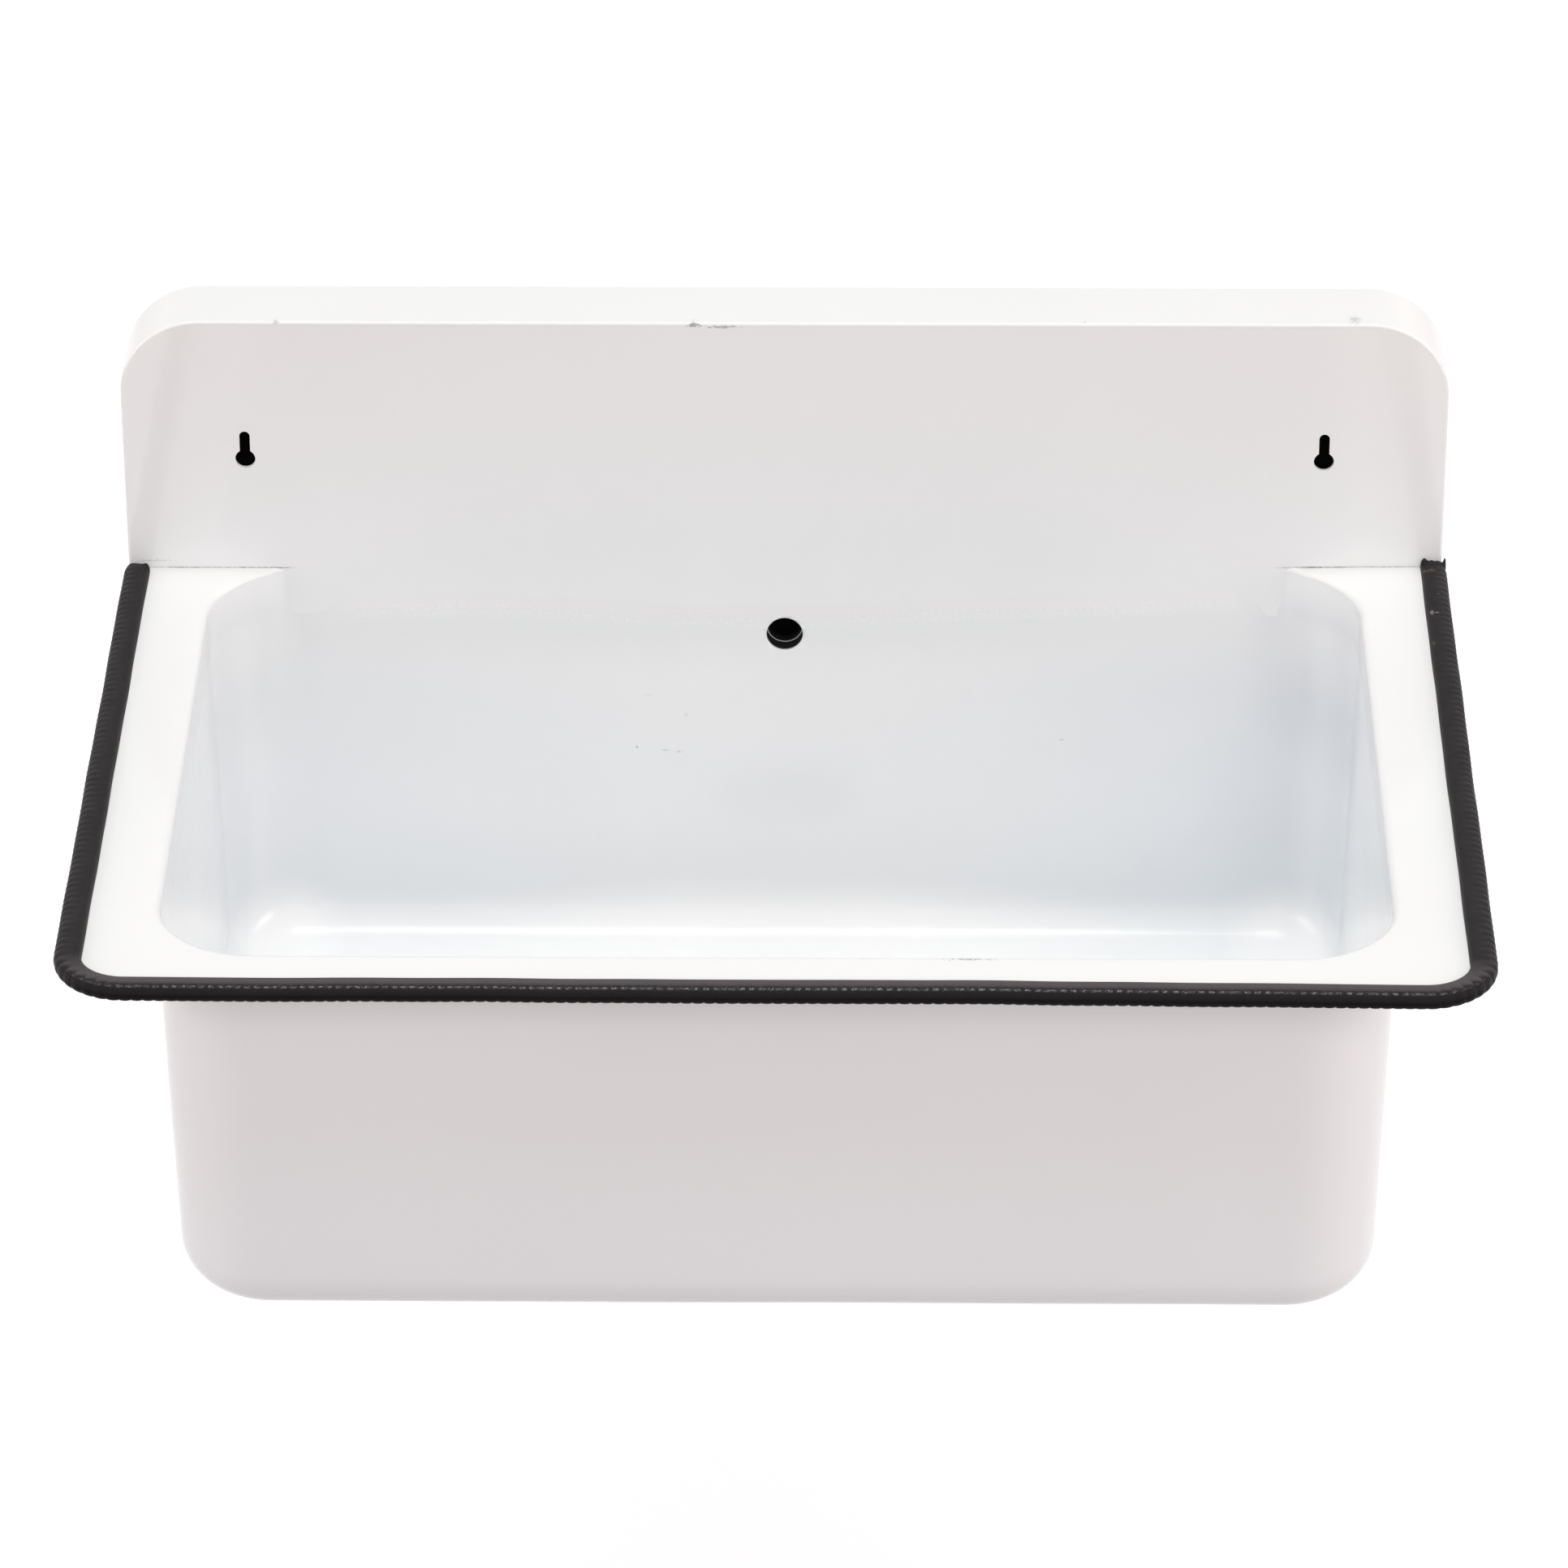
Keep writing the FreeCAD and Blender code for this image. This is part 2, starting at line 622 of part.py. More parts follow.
def union_nut(name, thread, mouth, start, length, lugs, **place):
    """A union nut: threaded from its start, with a lip at its far end that pulls on what it holds."""
    bore = f"({thread} + thread_clearance)"
    outside = f"({bore} + nut_wall)"
    body = turned(name, (
        (bore, start),
        (outside, start),
        (outside, f"{start} + {length}"),
        (mouth, f"{start} + {length}"),
        (mouth, f"{start} + {length} - nut_lip_thickness"),
        (bore, f"{start} + {length} - nut_lip_thickness"),
    ), **place)
    grip = new_sketch(body, "lug_outline", "XY_Plane", f"-({start})")
    rectangle(grip, f"{outside} - nut_wall / 2", f"{outside} + nut_lug_height",
              "-nut_lug_width / 2", "nut_lug_width / 2")
    lug = pad(body, "Pad", "lug", grip, length, reverse=True)
    polar(body, "lugs", [lug], grip, lugs)
    return body


# The pieces that clamp to the bowl's floor
def make_waste():
    ring("waste_seal_top", "drain_hole_radius", "flange_radius",
         "flange_under", "seat", **DRAIN)
    body = turned("waste_flange", (
        ("recess_radius", "flange_top"),
        ("flange_radius", "flange_top"),
        ("flange_radius", "flange_under"),
        ("recess_radius + flange_thickness", "flange_under"),
        ("recess_radius + flange_thickness", "recess_floor + flange_thickness"),
        ("throat_radius + flange_thickness", "recess_floor + flange_thickness"),
        ("throat_radius + flange_thickness", "throat_under"),
        ("screw_diameter / 2 + screw_clearance", "throat_under"),
        ("screw_diameter / 2 + screw_clearance", "throat_floor"),
        ("throat_radius", "throat_floor"),
        ("throat_radius", "recess_floor"),
        ("recess_radius", "recess_floor"),
    ), **DRAIN)
    port = new_sketch(body, "port_outline", "XY_Plane", "-throat_floor")
    circle(port, "throat_port_circle / 2", "0", "throat_port_diameter / 2")
    cut = pad(body, "Pocket", "port", port, "throat_floor_thickness + throat_floor_thickness", both=True)
    polar(body, "ports", [cut], port, THROAT_PORTS)

    body = turned("waste_strainer", (
        ("knob_stem_diameter / 2 + screw_clearance", "recess_floor - strainer_thickness"),
        ("strainer_diameter / 2", "recess_floor - strainer_thickness"),
        ("strainer_diameter / 2", "recess_floor"),
        ("knob_stem_diameter / 2 + screw_clearance", "recess_floor"),
    ), **DRAIN)
    for row, copies in (("inner", STRAINER_INNER_HOLES), ("middle", STRAINER_MIDDLE_HOLES),
                        ("outer", STRAINER_OUTER_HOLES)):
        hole = new_sketch(body, f"{row}_hole_outline", "XY_Plane", "-recess_floor")
        circle(hole, f"strainer_{row}_circle / 2", "0", "strainer_hole_diameter / 2")
        cut = pad(body, "Pocket", f"{row}_hole", hole, "strainer_thickness * 3", both=True)
        polar(body, f"{row}_holes", [cut], hole, copies)

    turned("strainer_knob", (
        ("0", "recess_floor - strainer_thickness - knob_stem_height - knob_height"),
        ("knob_diameter / 2", "recess_floor - strainer_thickness - knob_stem_height - knob_height"),
        ("knob_diameter / 2", "recess_floor - strainer_thickness - knob_stem_height"),
        ("knob_rivet_diameter / 2", "recess_floor - strainer_thickness - knob_stem_height"),
        ("knob_rivet_diameter / 2", "recess_floor - strainer_thickness"),
        ("knob_stem_diameter / 2", "recess_floor - strainer_thickness"),
        ("knob_stem_diameter / 2", "recess_floor"),
        ("knob_rivet_diameter / 2", "recess_floor"),
        ("knob_rivet_diameter / 2", "recess_floor + knob_rivet_height"),
        ("0", "recess_floor + knob_rivet_height"),
    ), **DRAIN)

    body = turned("waste_screw", (
        ("0", "throat_floor - screw_head_height"),
        ("screw_head_diameter / 2", "throat_floor - screw_head_height"),
        ("screw_head_diameter / 2", "throat_floor"),
        ("screw_diameter / 2", "throat_floor"),
        ("screw_diameter / 2", "throat_floor + screw_length"),
        ("0", "throat_floor + screw_length"),
    ), **DRAIN)
    slot = new_sketch(body, "slot_outline", "XY_Plane", "screw_head_height - throat_floor")
    rectangle(slot, "-screw_head_diameter", "screw_head_diameter",
              "-screw_slot_width / 2", "screw_slot_width / 2")
    pad(body, "Pocket", "slot", slot, "screw_slot_depth")

    ring("waste_insert", "screw_diameter / 2", "insert_radius",
         "boss_top", "boss_top + insert_length", **DRAIN)
    ring("waste_seal_bottom", "body_seal_inner_radius", "body_rim_radius",
         "dish_under", "body_top", **DRAIN)
    make_collector()


# The plastic collector: a cup, a boss on webs for the screw, the overflow inlet and the outlet
def make_collector():
    body = turned("waste_body", (
        ("body_seal_inner_radius", "body_top"),
        ("body_rim_radius", "body_top"),
        ("body_rim_radius", "body_top + body_rim_thickness"),
        ("body_radius", "body_top + body_rim_thickness"),
        ("body_radius", "body_bottom"),
        ("outlet_radius", "cone_bottom"),
        ("outlet_radius", "outlet_end"),
        ("tail_radius - tail_wall", "outlet_end"),
        ("tail_radius - tail_wall", "cone_bottom"),
        ("body_radius - body_wall", "body_bottom"),
        ("body_radius - body_wall", "body_top + body_rim_thickness"),
        ("body_seal_inner_radius", "body_top + body_rim_thickness"),
    ), **DRAIN)
    boss = new_sketch(body, "boss_outline", "XY_Plane", "-boss_top")
    circle(boss, "0", "0", "insert_radius + boss_wall")
    pad(body, "Pad", "boss", boss, "boss_height", reverse=True)
    web = new_sketch(body, "web_outline", "XY_Plane", "-boss_top")
    rectangle(web, "screw_diameter", "body_radius - body_wall / 2",
              "-web_thickness / 2", "web_thickness / 2")
    arm = pad(body, "Pad", "web", web, "web_height", reverse=True)
    polar(body, "webs", [arm], web, BODY_WEBS)
    bore = new_sketch(body, "insert_outline", "XY_Plane", "-boss_top")
    circle(bore, "0", "0", "insert_radius")
    pad(body, "Pocket", "insert_bore", bore, "insert_length")
    tip = new_sketch(body, "screw_outline", "XY_Plane", "-boss_top")
    circle(tip, "0", "0", "screw_diameter / 2 + screw_clearance")
    pad(body, "Pocket", "screw_bore", tip, "boss_height * 2")
    inlet = new_sketch(body, "inlet_outline", "XZ_Plane", "-body_radius + body_wall / 2")
    circle(inlet, "0", "-inlet_drop", "socket_radius")
    pad(body, "Pad", "inlet", inlet, "inlet_reach + body_wall / 2", reverse=True)
    way = new_sketch(body, "inlet_way", "XZ_Plane", "-inlet_socket_end")
    circle(way, "0", "-inlet_drop", "pipe_bore_radius")
    pad(body, "Pocket", "inlet_bore", way, "inlet_reach + body_wall * 2", reverse=True)
    socket = new_sketch(body, "inlet_socket", "XZ_Plane", "-inlet_socket_end")
    circle(socket, "0", "-inlet_drop", "socket_bore_radius")
    pad(body, "Pocket", "inlet_socket_bore", socket, "socket_length - socket_stop", reverse=True)


# The outlet below the collector
def make_outlet():
    ring("tailpiece_washer", "tail_radius - tail_wall", "outlet_radius", "outlet_end", "tail_top", **DRAIN)
    turned("tailpiece", (
        ("tail_radius - tail_wall", "tail_top"),
        ("outlet_radius", "tail_top"),
        ("outlet_radius", "tail_flange_under"),
        ("tail_collar_radius", "tail_flange_under"),
        ("tail_collar_radius", "tail_collar_end"),
        ("tail_radius", "tail_collar_end + tail_collar_step"),
        ("tail_radius", "tail_top + tail_length"),
        ("tail_radius - tail_wall", "tail_top + tail_length"),
    ), **DRAIN)
    union_nut("tailpiece_nut", "outlet_radius", "tail_collar_radius + thread_clearance",
              "tail_flange_under + nut_lip_thickness - tail_nut_length", "tail_nut_length",
              TAIL_NUT_LUGS, **DRAIN)


# The overflow: a stub behind the hole, an elbow, and a pipe to the collector
def make_overflow():
    body = new_body("overflow_stub", z="-keyhole_height - overflow_drop")
    tube = new_sketch(body, "tube_outline", "XZ_Plane", "-stub_end")
    circle(tube, "0", "0", "stub_radius")
    circle(tube, "0", "0", "overflow_radius")
    pad(body, "Pad", "tube", tube, "stub_end + cut_overrun / 2")
    slant = new_sketch(body, "wall_line", "YZ_Plane")
    outline(slant, (
        ("-cut_overrun * 2", "cut_overrun"),
        ("-cut_overrun * 2", "-cut_overrun"),
        ("sheet - (overflow_drop - panel_skirt + cut_overrun) * tan(back_draft_angle)", "-cut_overrun"),
        ("sheet - (overflow_drop - panel_skirt - cut_overrun) * tan(back_draft_angle)", "cut_overrun"),
    ))
    pad(body, "Pocket", "wall_trim", slant, "cut_overrun * 2", both=True)

    ring("overflow_seal", "overflow_radius", "stub_radius", "stub_end", "elbow_face", **OVERFLOW)

    body = new_body("overflow_elbow", z="-keyhole_height - overflow_drop")
    path = new_sketch(body, "elbow_path", "YZ_Plane")
    outline(path, (
        ("elbow_face", "0"),
        ("elbow_bend_start", "0", "elbow_bend_radius", -1),
        ("downpipe_setback", "-elbow_bend_radius"),
        ("downpipe_setback", "-elbow_socket_end"),
    ), closed=False)
    outside = new_sketch(body, "elbow_outside", "XZ_Plane", "-elbow_face")
    circle(outside, "0", "0", "pipe_radius")
    along(body, "AdditivePipe", "elbow", outside, path)
    flange = new_sketch(body, "elbow_flange_outline", "XZ_Plane", "-elbow_face")
    circle(flange, "0", "0", "stub_radius")
    pad(body, "Pad", "elbow_flange", flange, "elbow_flange_thickness", reverse=True)
    cup = new_sketch(body, "socket_outline", "XY_Plane", "-elbow_socket_top")
    circle(cup, "0", "downpipe_setback", "socket_radius")
    pad(body, "Pad", "socket", cup, "socket_length", reverse=True)
    inside = new_sketch(body, "elbow_inside", "XZ_Plane", "-elbow_face")
    circle(inside, "0", "0", "pipe_bore_radius")
    along(body, "SubtractivePipe", "elbow_way", inside, path)
    bore = new_sketch(body, "socket_bore_outline", "XY_Plane", "-elbow_socket_end")
    circle(bore, "0", "downpipe_setback", "socket_bore_radius")
    pad(body, "Pocket", "socket_bore", bore, "socket_length - socket_stop", reverse=True)

    union_nut("overflow_nut", "stub_radius", "pipe_radius + thread_clearance",
              "elbow_flange_back + nut_lip_thickness - overflow_nut_length", "overflow_nut_length",
              SMALL_NUT_LUGS, **OVERFLOW)

    body = new_body("overflow_pipe", z="-keyhole_height - overflow_drop")
    path = new_sketch(body, "pipe_path", "YZ_Plane")
    outline(path, (
        ("downpipe_setback", "-elbow_socket_top - socket_stop"),
        ("downpipe_setback", "pipe_bend_radius - overflow_to_inlet", "pipe_bend_radius", -1),
        ("downpipe_setback - pipe_bend_radius", "-overflow_to_inlet"),
        ("inlet_socket_end - drain_setback - socket_length + socket_stop", "-overflow_to_inlet"),
    ), closed=False)
    section = new_sketch(body, "pipe_section", "XY_Plane", "-elbow_socket_top - socket_stop")
    circle(section, "0", "downpipe_setback", "pipe_radius")
    circle(section, "0", "downpipe_setback", "pipe_bore_radius")
    along(body, "AdditivePipe", "pipe", section, path)

    pipe_joint("upper", y="downpipe_setback", z="-keyhole_height - overflow_drop - elbow_socket_end")
    pipe_joint("lower", y="inlet_socket_end - drain_setback",
               z="-keyhole_height - bowl_depth - inlet_drop", turn=BACKWARDS)


def pipe_joint(name, **place):
    """The rubber washer and the union nut where the pipe enters a socket, from the socket's mouth on."""
    ring(f"pipe_washer_{name}", "pipe_radius", "socket_radius", "0", "pipe_washer_thickness", **place)
    union_nut(f"pipe_nut_{name}", "socket_radius", "pipe_radius + thread_clearance",
              "pipe_washer_thickness + nut_lip_thickness - pipe_nut_length", "pipe_nut_length",
              SMALL_NUT_LUGS, **place)


make_backsplash()
make_bowl()
make_edging()
make_waste()
make_outlet()
make_overflow()
doc.recompute()

for thing in doc.Objects:
    if "Invalid" in thing.State or "Error" in thing.State:
        raise RuntimeError(f"{thing.Label} failed: {thing.State}")
os.makedirs("parts", exist_ok=True)
for body in bodies:
    if body.Shape.isNull() or not body.Shape.isValid():
        raise RuntimeError(f"{body.Label} has no valid shape")
    body.Shape.exportStep(f"parts/{body.Label}.step")
print(f"{len(bodies)} pieces written")
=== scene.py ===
import json
import math

import bpy
import numpy as np
from mathutils import Matrix, Vector


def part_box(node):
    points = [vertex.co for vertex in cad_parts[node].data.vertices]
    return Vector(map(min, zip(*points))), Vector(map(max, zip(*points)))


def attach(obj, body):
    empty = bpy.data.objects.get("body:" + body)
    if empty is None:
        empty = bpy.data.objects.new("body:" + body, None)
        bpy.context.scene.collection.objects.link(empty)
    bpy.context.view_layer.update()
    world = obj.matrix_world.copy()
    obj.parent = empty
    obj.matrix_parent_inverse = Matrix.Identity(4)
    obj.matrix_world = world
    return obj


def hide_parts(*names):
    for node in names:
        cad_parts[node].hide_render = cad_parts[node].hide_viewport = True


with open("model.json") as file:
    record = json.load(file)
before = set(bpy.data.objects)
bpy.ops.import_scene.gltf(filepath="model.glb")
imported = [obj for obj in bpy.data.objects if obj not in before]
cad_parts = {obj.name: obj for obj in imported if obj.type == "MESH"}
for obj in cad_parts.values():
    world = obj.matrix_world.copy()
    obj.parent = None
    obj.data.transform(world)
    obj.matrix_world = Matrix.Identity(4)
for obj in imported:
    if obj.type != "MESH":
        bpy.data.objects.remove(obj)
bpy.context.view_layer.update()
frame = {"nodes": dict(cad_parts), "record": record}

bl_info = {
    "name": "Bucket Sink",
    "version": (1, 0, 0),
    "blender": (4, 5, 0),
    "location": "View3D > Sidebar > Sink",
    "description": "Enamel, ribbed edging, waste fittings and studio for a wall-mounted bucket sink",
    "category": "Object",
}

MM = 0.001
LEDGE_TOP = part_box("bowl")[1].z / MM
HALF_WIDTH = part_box("bowl")[1].x / MM
LEDGE_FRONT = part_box("bowl")[0].y / MM

# What each CAD node is made of, by its slot in the record
NODES_OF_SLOT = {}
for part in frame["record"]["subparts"]:
    NODES_OF_SLOT.setdefault(part["material_slot"], []).append(part["node"])


def amount(name, about, default, **more):
    """A number for the panel."""
    return bpy.props.FloatProperty(name=name, description=about, default=default, **more)


def swatch(name, about, default):
    """A colour for the panel."""
    return bpy.props.FloatVectorProperty(name=name, description=about, subtype="COLOR", size=3, default=default)


class BowlSizes(bpy.types.PropertyGroup):
    """Sizes of the enamelled bowl, in millimetres"""
    sheet: amount("Sheet", "Thickness of the enamelled sheet", 2.0)
    opening_half: amount("Half opening", "Half the opening's width", 302.0)
    opening_front: amount("Opening depth", "From the backsplash to the opening's front edge", 395.4)
    corner: amount("Corner radius", "Radius of the opening's corners", 49.5)
    lip: amount("Lip radius", "Rounding between ledge and walls", 4.0)
    ledge_corner: amount("Ledge corner", "Radius of the ledge's outer corners", 34.0)
    skirt: amount("Skirt", "Depth at which the walls begin to slope", 27.0)
    depth: amount("Depth", "Depth of the bowl's floor under the ledge", 214.0)
    floor_radius: amount("Floor radius", "Rounding between walls and floor", 25.0)
    side_draft: amount("Side draft", "Slope of the side and front walls", math.radians(1.6), subtype="ANGLE")
    back_draft: amount("Back draft", "Slope of the back wall", math.radians(2.5), subtype="ANGLE")
    drain_setback: amount("Drain setback", "From the backsplash to the drain's middle", 185.0)
    drain_radius: amount("Drain radius", "Radius of the drain hole", 33.0)
    dish_floor: amount("Dish floor radius", "Radius of the flat seat round the drain", 39.0)
    dish_radius: amount("Dish radius", "Outer radius of the dished seat", 45.0)
    dish_depth: amount("Dish depth", "How deep the seat lies under the floor", 3.0)
    overflow_drop: amount("Overflow drop", "Depth of the overflow hole's middle", 38.7)
    overflow_radius: amount("Overflow radius", "Radius of the overflow hole", 9.65)
    corner_pull: amount("Corner pull", "How far the back corners stand in under the backsplash", 1.2)
    corner_push: amount("Corner push", "How far the corners stand out where they meet the backsplash", 1.6)
    crease_softness: amount("Crease softness", "How far the bend under the backsplash spreads", 4.5)
    press_wave: amount("Press wave", "Height of the slow waves that pressing leaves in the sheet", 0.1)


class EdgingSizes(bpy.types.PropertyGroup):
    """Sizes of the ribbed rubber edging, in millimetres"""
    width: amount("Width", "Width of the section", 13.55)
    height: amount("Height", "Height of the section", 9.8)
    squareness: amount("Squareness", "Power of the section's rounded outline: 2 is an ellipse", 2.5)
    overhang: amount("Overhang", "How far it stands out past the ledge", 2.2)
    climb: amount("Climb", "How much higher it sits at the front than at its ends", 0.55)
    repeat: amount("Repeat", "Length after which the rib pattern repeats, four ribs on", 22.05)
    rib_height: amount("Rib height", "Depth of the grooves between ribs", 0.5)
    strip_width: amount("Strip width", "Width of the steel strip's channel", 10.1)
    strip_height: amount("Strip height", "Height of the steel strip's channel", 5.0)
    strip_sheet: amount("Strip sheet", "Thickness of the steel strip", 0.6)


class Finishes(bpy.types.PropertyGroup):
    """Colours of the sink's materials"""
    enamel: swatch("Enamel", "Glass enamel", (0.835, 0.853, 0.868))
    chip: swatch("Chip", "Ground coat where the enamel is chipped", (0.16, 0.15, 0.15))
    edging: swatch("Edging", "Black rubber of the edging", (0.006, 0.0055, 0.0065))
    # Near black: the stub's dark ground coat, made darker still as painted shade. The elbow's bore uses it as
    # painted shade too
    ground_and_shade: swatch("Ground coat", "Dark first coat inside the overflow stub", (0.006, 0.006, 0.008))
    seal: swatch("Seals", "Matt rubber of the seals", (0.03, 0.03, 0.031))
    steel: swatch("Stainless steel", "Flange, strainer and screw", (0.62, 0.61, 0.59))
    strip: swatch("Carrier strip", "Plain steel inside the edging", (0.42, 0.42, 0.43))
    brass: swatch("Brass", "Threaded insert", (0.72, 0.52, 0.24))
    waste: swatch("Waste plastic", "Collector and pipes", (0.80, 0.80, 0.78))
    nut: swatch("Nut plastic", "Union nuts", (0.74, 0.74, 0.72))


class Studio(bpy.types.PropertyGroup):
    """Light, floor and camera"""
    floor_drop: amount("Floor", "How far the floor lies under the keyholes", 0.95, unit="LENGTH")
    surround: swatch("Surround", "Light from all round", (0.465, 0.463, 0.462))
    bounce: swatch("Floor bounce", "Colour in which the floor gives light back", (0.58, 0.54, 0.545))
    top: amount("Top light", "Power of the wide lamp overhead", 59.0, unit="POWER")
    tube: amount("Tube", "Power of the long tube above the sink", 1.1, unit="POWER")
    strip: amount("Strip", "Power of the short wide lamp that the bowl mirrors", 2.6, unit="POWER")
    left: amount("Left light", "Power of the lamp on the left", 16.3, unit="POWER")
    right: amount("Right light", "Power of the lamp on the right", 18.4, unit="POWER")
    front: amount("Front light", "Power of the lamp over the camera", 32.8, unit="POWER")
    above_tint: swatch("Overhead tint", "Colour of the lamps overhead", (0.975, 1.0, 0.955))
    level_tint: swatch("Side tint", "Colour of the lamps at the sides and in front", (1.0, 0.86, 0.835))
    lens: amount("Lens", "Focal length on a 36 mm sensor", 175.92)


SETTINGS = {"sink_bowl": BowlSizes, "sink_edging": EdgingSizes, "sink_finish": Finishes, "sink_studio": Studio}


# Shapes

def corner_walk(side_steps, corner_steps):
    """The order in which every ring of the bowl is walked: back, right, front, left, from the back
    left corner. Each step is a share s of the way from one corner's centre to the next, and a unit
    direction out from there, so that a side is a straight run and a corner is a quarter turn."""
    start, end, share, angle = [], [], [], []
    for corner in range(4):
        begin = math.pi / 2 - corner * math.pi / 2
        steps = side_steps[corner]
        run = np.arange(steps) / steps
        start.append(np.full(steps, corner))
        end.append(np.full(steps, (corner + 1) % 4))
        share.append(run)
        angle.append(np.full(steps, begin))
        turn = np.arange(corner_steps) / corner_steps
        start.append(np.full(corner_steps, (corner + 1) % 4))
        end.append(np.full(corner_steps, (corner + 1) % 4))
        share.append(turn * 0)
        angle.append(begin - turn * math.pi / 2)
    angle = np.concatenate(angle)
    return (np.concatenate(start), np.concatenate(end), np.concatenate(share),
            np.stack([np.cos(angle), np.sin(angle)], 1))


def ring(walk, half, front, back, radius, depth):
    """A rounded rectangle at one depth: centre + radius * direction, where the centres are the four
    corners pulled in by the radius. Depth runs down from the ledge's top."""
    start, end, share, out = walk
    centres = np.array([(radius - half, back - radius), (half - radius, back - radius),
                        (half - radius, radius - front), (radius - half, radius - front)])
    middle = centres[start] * (1 - share)[:, None] + centres[end] * share[:, None]
    flat = middle + radius * out
    return np.column_stack([flat, np.full(len(flat), LEDGE_TOP - depth)])


def opening_ring(walk, sizes, out, back, depth):
    """The opening's outline, further out by a distance at its front and sides, with its back at back."""
    return ring(walk, sizes.opening_half + out, sizes.opening_front + out, back, sizes.corner + out, depth)


def soft_slope(depth, begin, width):
    """How far below begin a depth lies, with a soft start: width * ln(1 + e^((depth - begin) / width))."""
    return width * np.logaddexp(0.0, (depth - begin) / width)


def smooth(value, low, high):
    """A smooth step from 0 at low to 1 at high: 3t^2 - 2t^3."""
    share = np.clip((value - low) / (high - low), 0, 1)
    return share * share * (3 - 2 * share)


# The ledge's back right corner stands high: by how much, and over which x and y it rises
LIFT, LIFT_X, LIFT_Y = 2.6, (120, 350), (-260, -10)


def ledge_lift(x, y):
    """The raised corner of the ledge: a smooth step along x times one along y."""
    return LIFT * smooth(x, *LIFT_X) * smooth(y, *LIFT_Y)


# The opening's back corners. Along the turn from side, 0, to back, 90 degrees: where the lip tightens
# and by what share, and where the wall stands in and out. Then the depths over which that fades.
TIGHT_SHARE, TIGHT_TURN = 0.45, (10, 50)
PULL_BEGINS, PULL_ENDS, PULL_DEPTHS = (5, 45), (58, 72), (6, 34)
PUSH_BEGINS, PUSH_ENDS, PUSH_DEPTHS = (62, 76), (82, 90), (6, 70)


def near_panel(row, walk, sizes, grow, out, depth):
    """Shape one ring where a back corner turns into the backsplash. With the turn from side to back,
    the lip's radius falls to about half. The wall stands in by a hump along the corner and out by a
    smaller one where it reaches the backsplash."""
    turn = np.degrees(np.arcsin(np.clip(walk[3][:, 1], 0, 1)))
    tight = 1 - TIGHT_SHARE * smooth(turn, *TIGHT_TURN)
    pull = sizes.corner_pull * smooth(turn, *PULL_BEGINS) * (1 - smooth(turn, *PULL_ENDS))
    push = sizes.corner_push * smooth(turn, *PUSH_BEGINS) * (1 - smooth(turn, *PUSH_ENDS))
    shift = push * (1 - smooth(depth, *PUSH_DEPTHS)) - pull * (1 - smooth(depth, *PULL_DEPTHS))
    if depth <= sizes.lip:
        shift = shift - (out - grow) * (1 - tight)
        row[:, 2] += (depth - grow) * (1 - tight)
    row[:, :2] += walk[3] * shift[:, None]
    row[:, 1] = np.minimum(row[:, 1], out)
    return row


def bowl_rings(walk, sizes, grow):
    """Rings of one face of the bowl from its floor's rounding up to the ledge. grow is 0 for the
    inner face and the sheet for the outer face. A wall's inset is tan(draft) times the depth under
    the skirt, and the floor's rounding is a circle arc between wall and floor."""
    rows = []
    depth_floor = sizes.depth + grow
    radius = sizes.floor_radius + grow
    side, back = math.tan(sizes.side_draft), math.tan(sizes.back_draft)
    fall = depth_floor - sizes.skirt
    centre = radius / math.cos(sizes.side_draft) - radius * side
    end_height = radius - radius * math.sin(sizes.side_draft)
    for turn in np.linspace(-math.pi / 2, -sizes.side_draft, 15):
        inset = fall * side + centre - radius * math.cos(turn)
        height = radius + radius * math.sin(turn)
        back_inset = inset + (fall - height * height / end_height) * (back - side)
        rows.append(opening_ring(walk, sizes, grow - inset, grow - back_inset, depth_floor - height))
    top = depth_floor - end_height
    knee = sizes.skirt
    depths = np.concatenate([np.linspace(top, knee + 22, 18)[1:], np.linspace(knee + 22, knee - 16, 24)[1:],
                             np.linspace(knee - 16, sizes.lip, 4)[1:]])
    for depth in depths:
        below = max(depth - knee, 0.0)
        flat = opening_ring(walk, sizes, grow - below * side, grow - below * back, depth)
        rows.append(near_panel(flat, walk, sizes, grow, grow, depth))
    lip = sizes.lip - grow
    for turn in np.linspace(0, math.pi / 2, 8)[1:]:
        out = lip * (1 - math.cos(turn)) + grow
        depth = sizes.lip - lip * math.sin(turn)
        flat = opening_ring(walk, sizes, out, out, depth)
        rows.append(near_panel(flat, walk, sizes, grow, out, depth))
    return np.array(rows)


def dish_rings(edge, sizes, grow):
    """Rings from the drain's hole out over the dished seat to the floor's edge ring. Each point runs
    straight from the drain's middle to its point on the edge ring, and the seat's wall is a cosine."""
    middle = np.array([0.0, -sizes.drain_setback])
    out = edge[:, :2] - middle
    reach = np.linalg.norm(out, axis=1)[:, None]
    out = out / reach
    rows = []
    floor = sizes.depth + grow
    radii = np.concatenate([[sizes.drain_radius, sizes.drain_radius + 0.5, sizes.dish_floor - 2],
                            np.linspace(sizes.dish_floor - 1, sizes.dish_radius + 1, 9)])
    for radius in radii:
        share = np.clip((radius - sizes.dish_floor + 1) / (sizes.dish_radius - sizes.dish_floor + 2), 0, 1)
        depth = floor + sizes.dish_depth * (1 + math.cos(math.pi * share)) / 2
        flat = middle + out * (radius + (grow if radius > sizes.dish_floor - 1.5 else 0.0))
        rows.append(np.column_stack([flat, np.full(len(flat), LEDGE_TOP - depth)]))
    first = rows[-1][:, :2]
    for share in np.linspace(0, 1, 9)[1:-1]:
        flat = first * (1 - share) + edge[:, :2] * share
        rows.append(np.column_stack([flat, np.full(len(flat), LEDGE_TOP - floor)]))
    return np.array(rows)


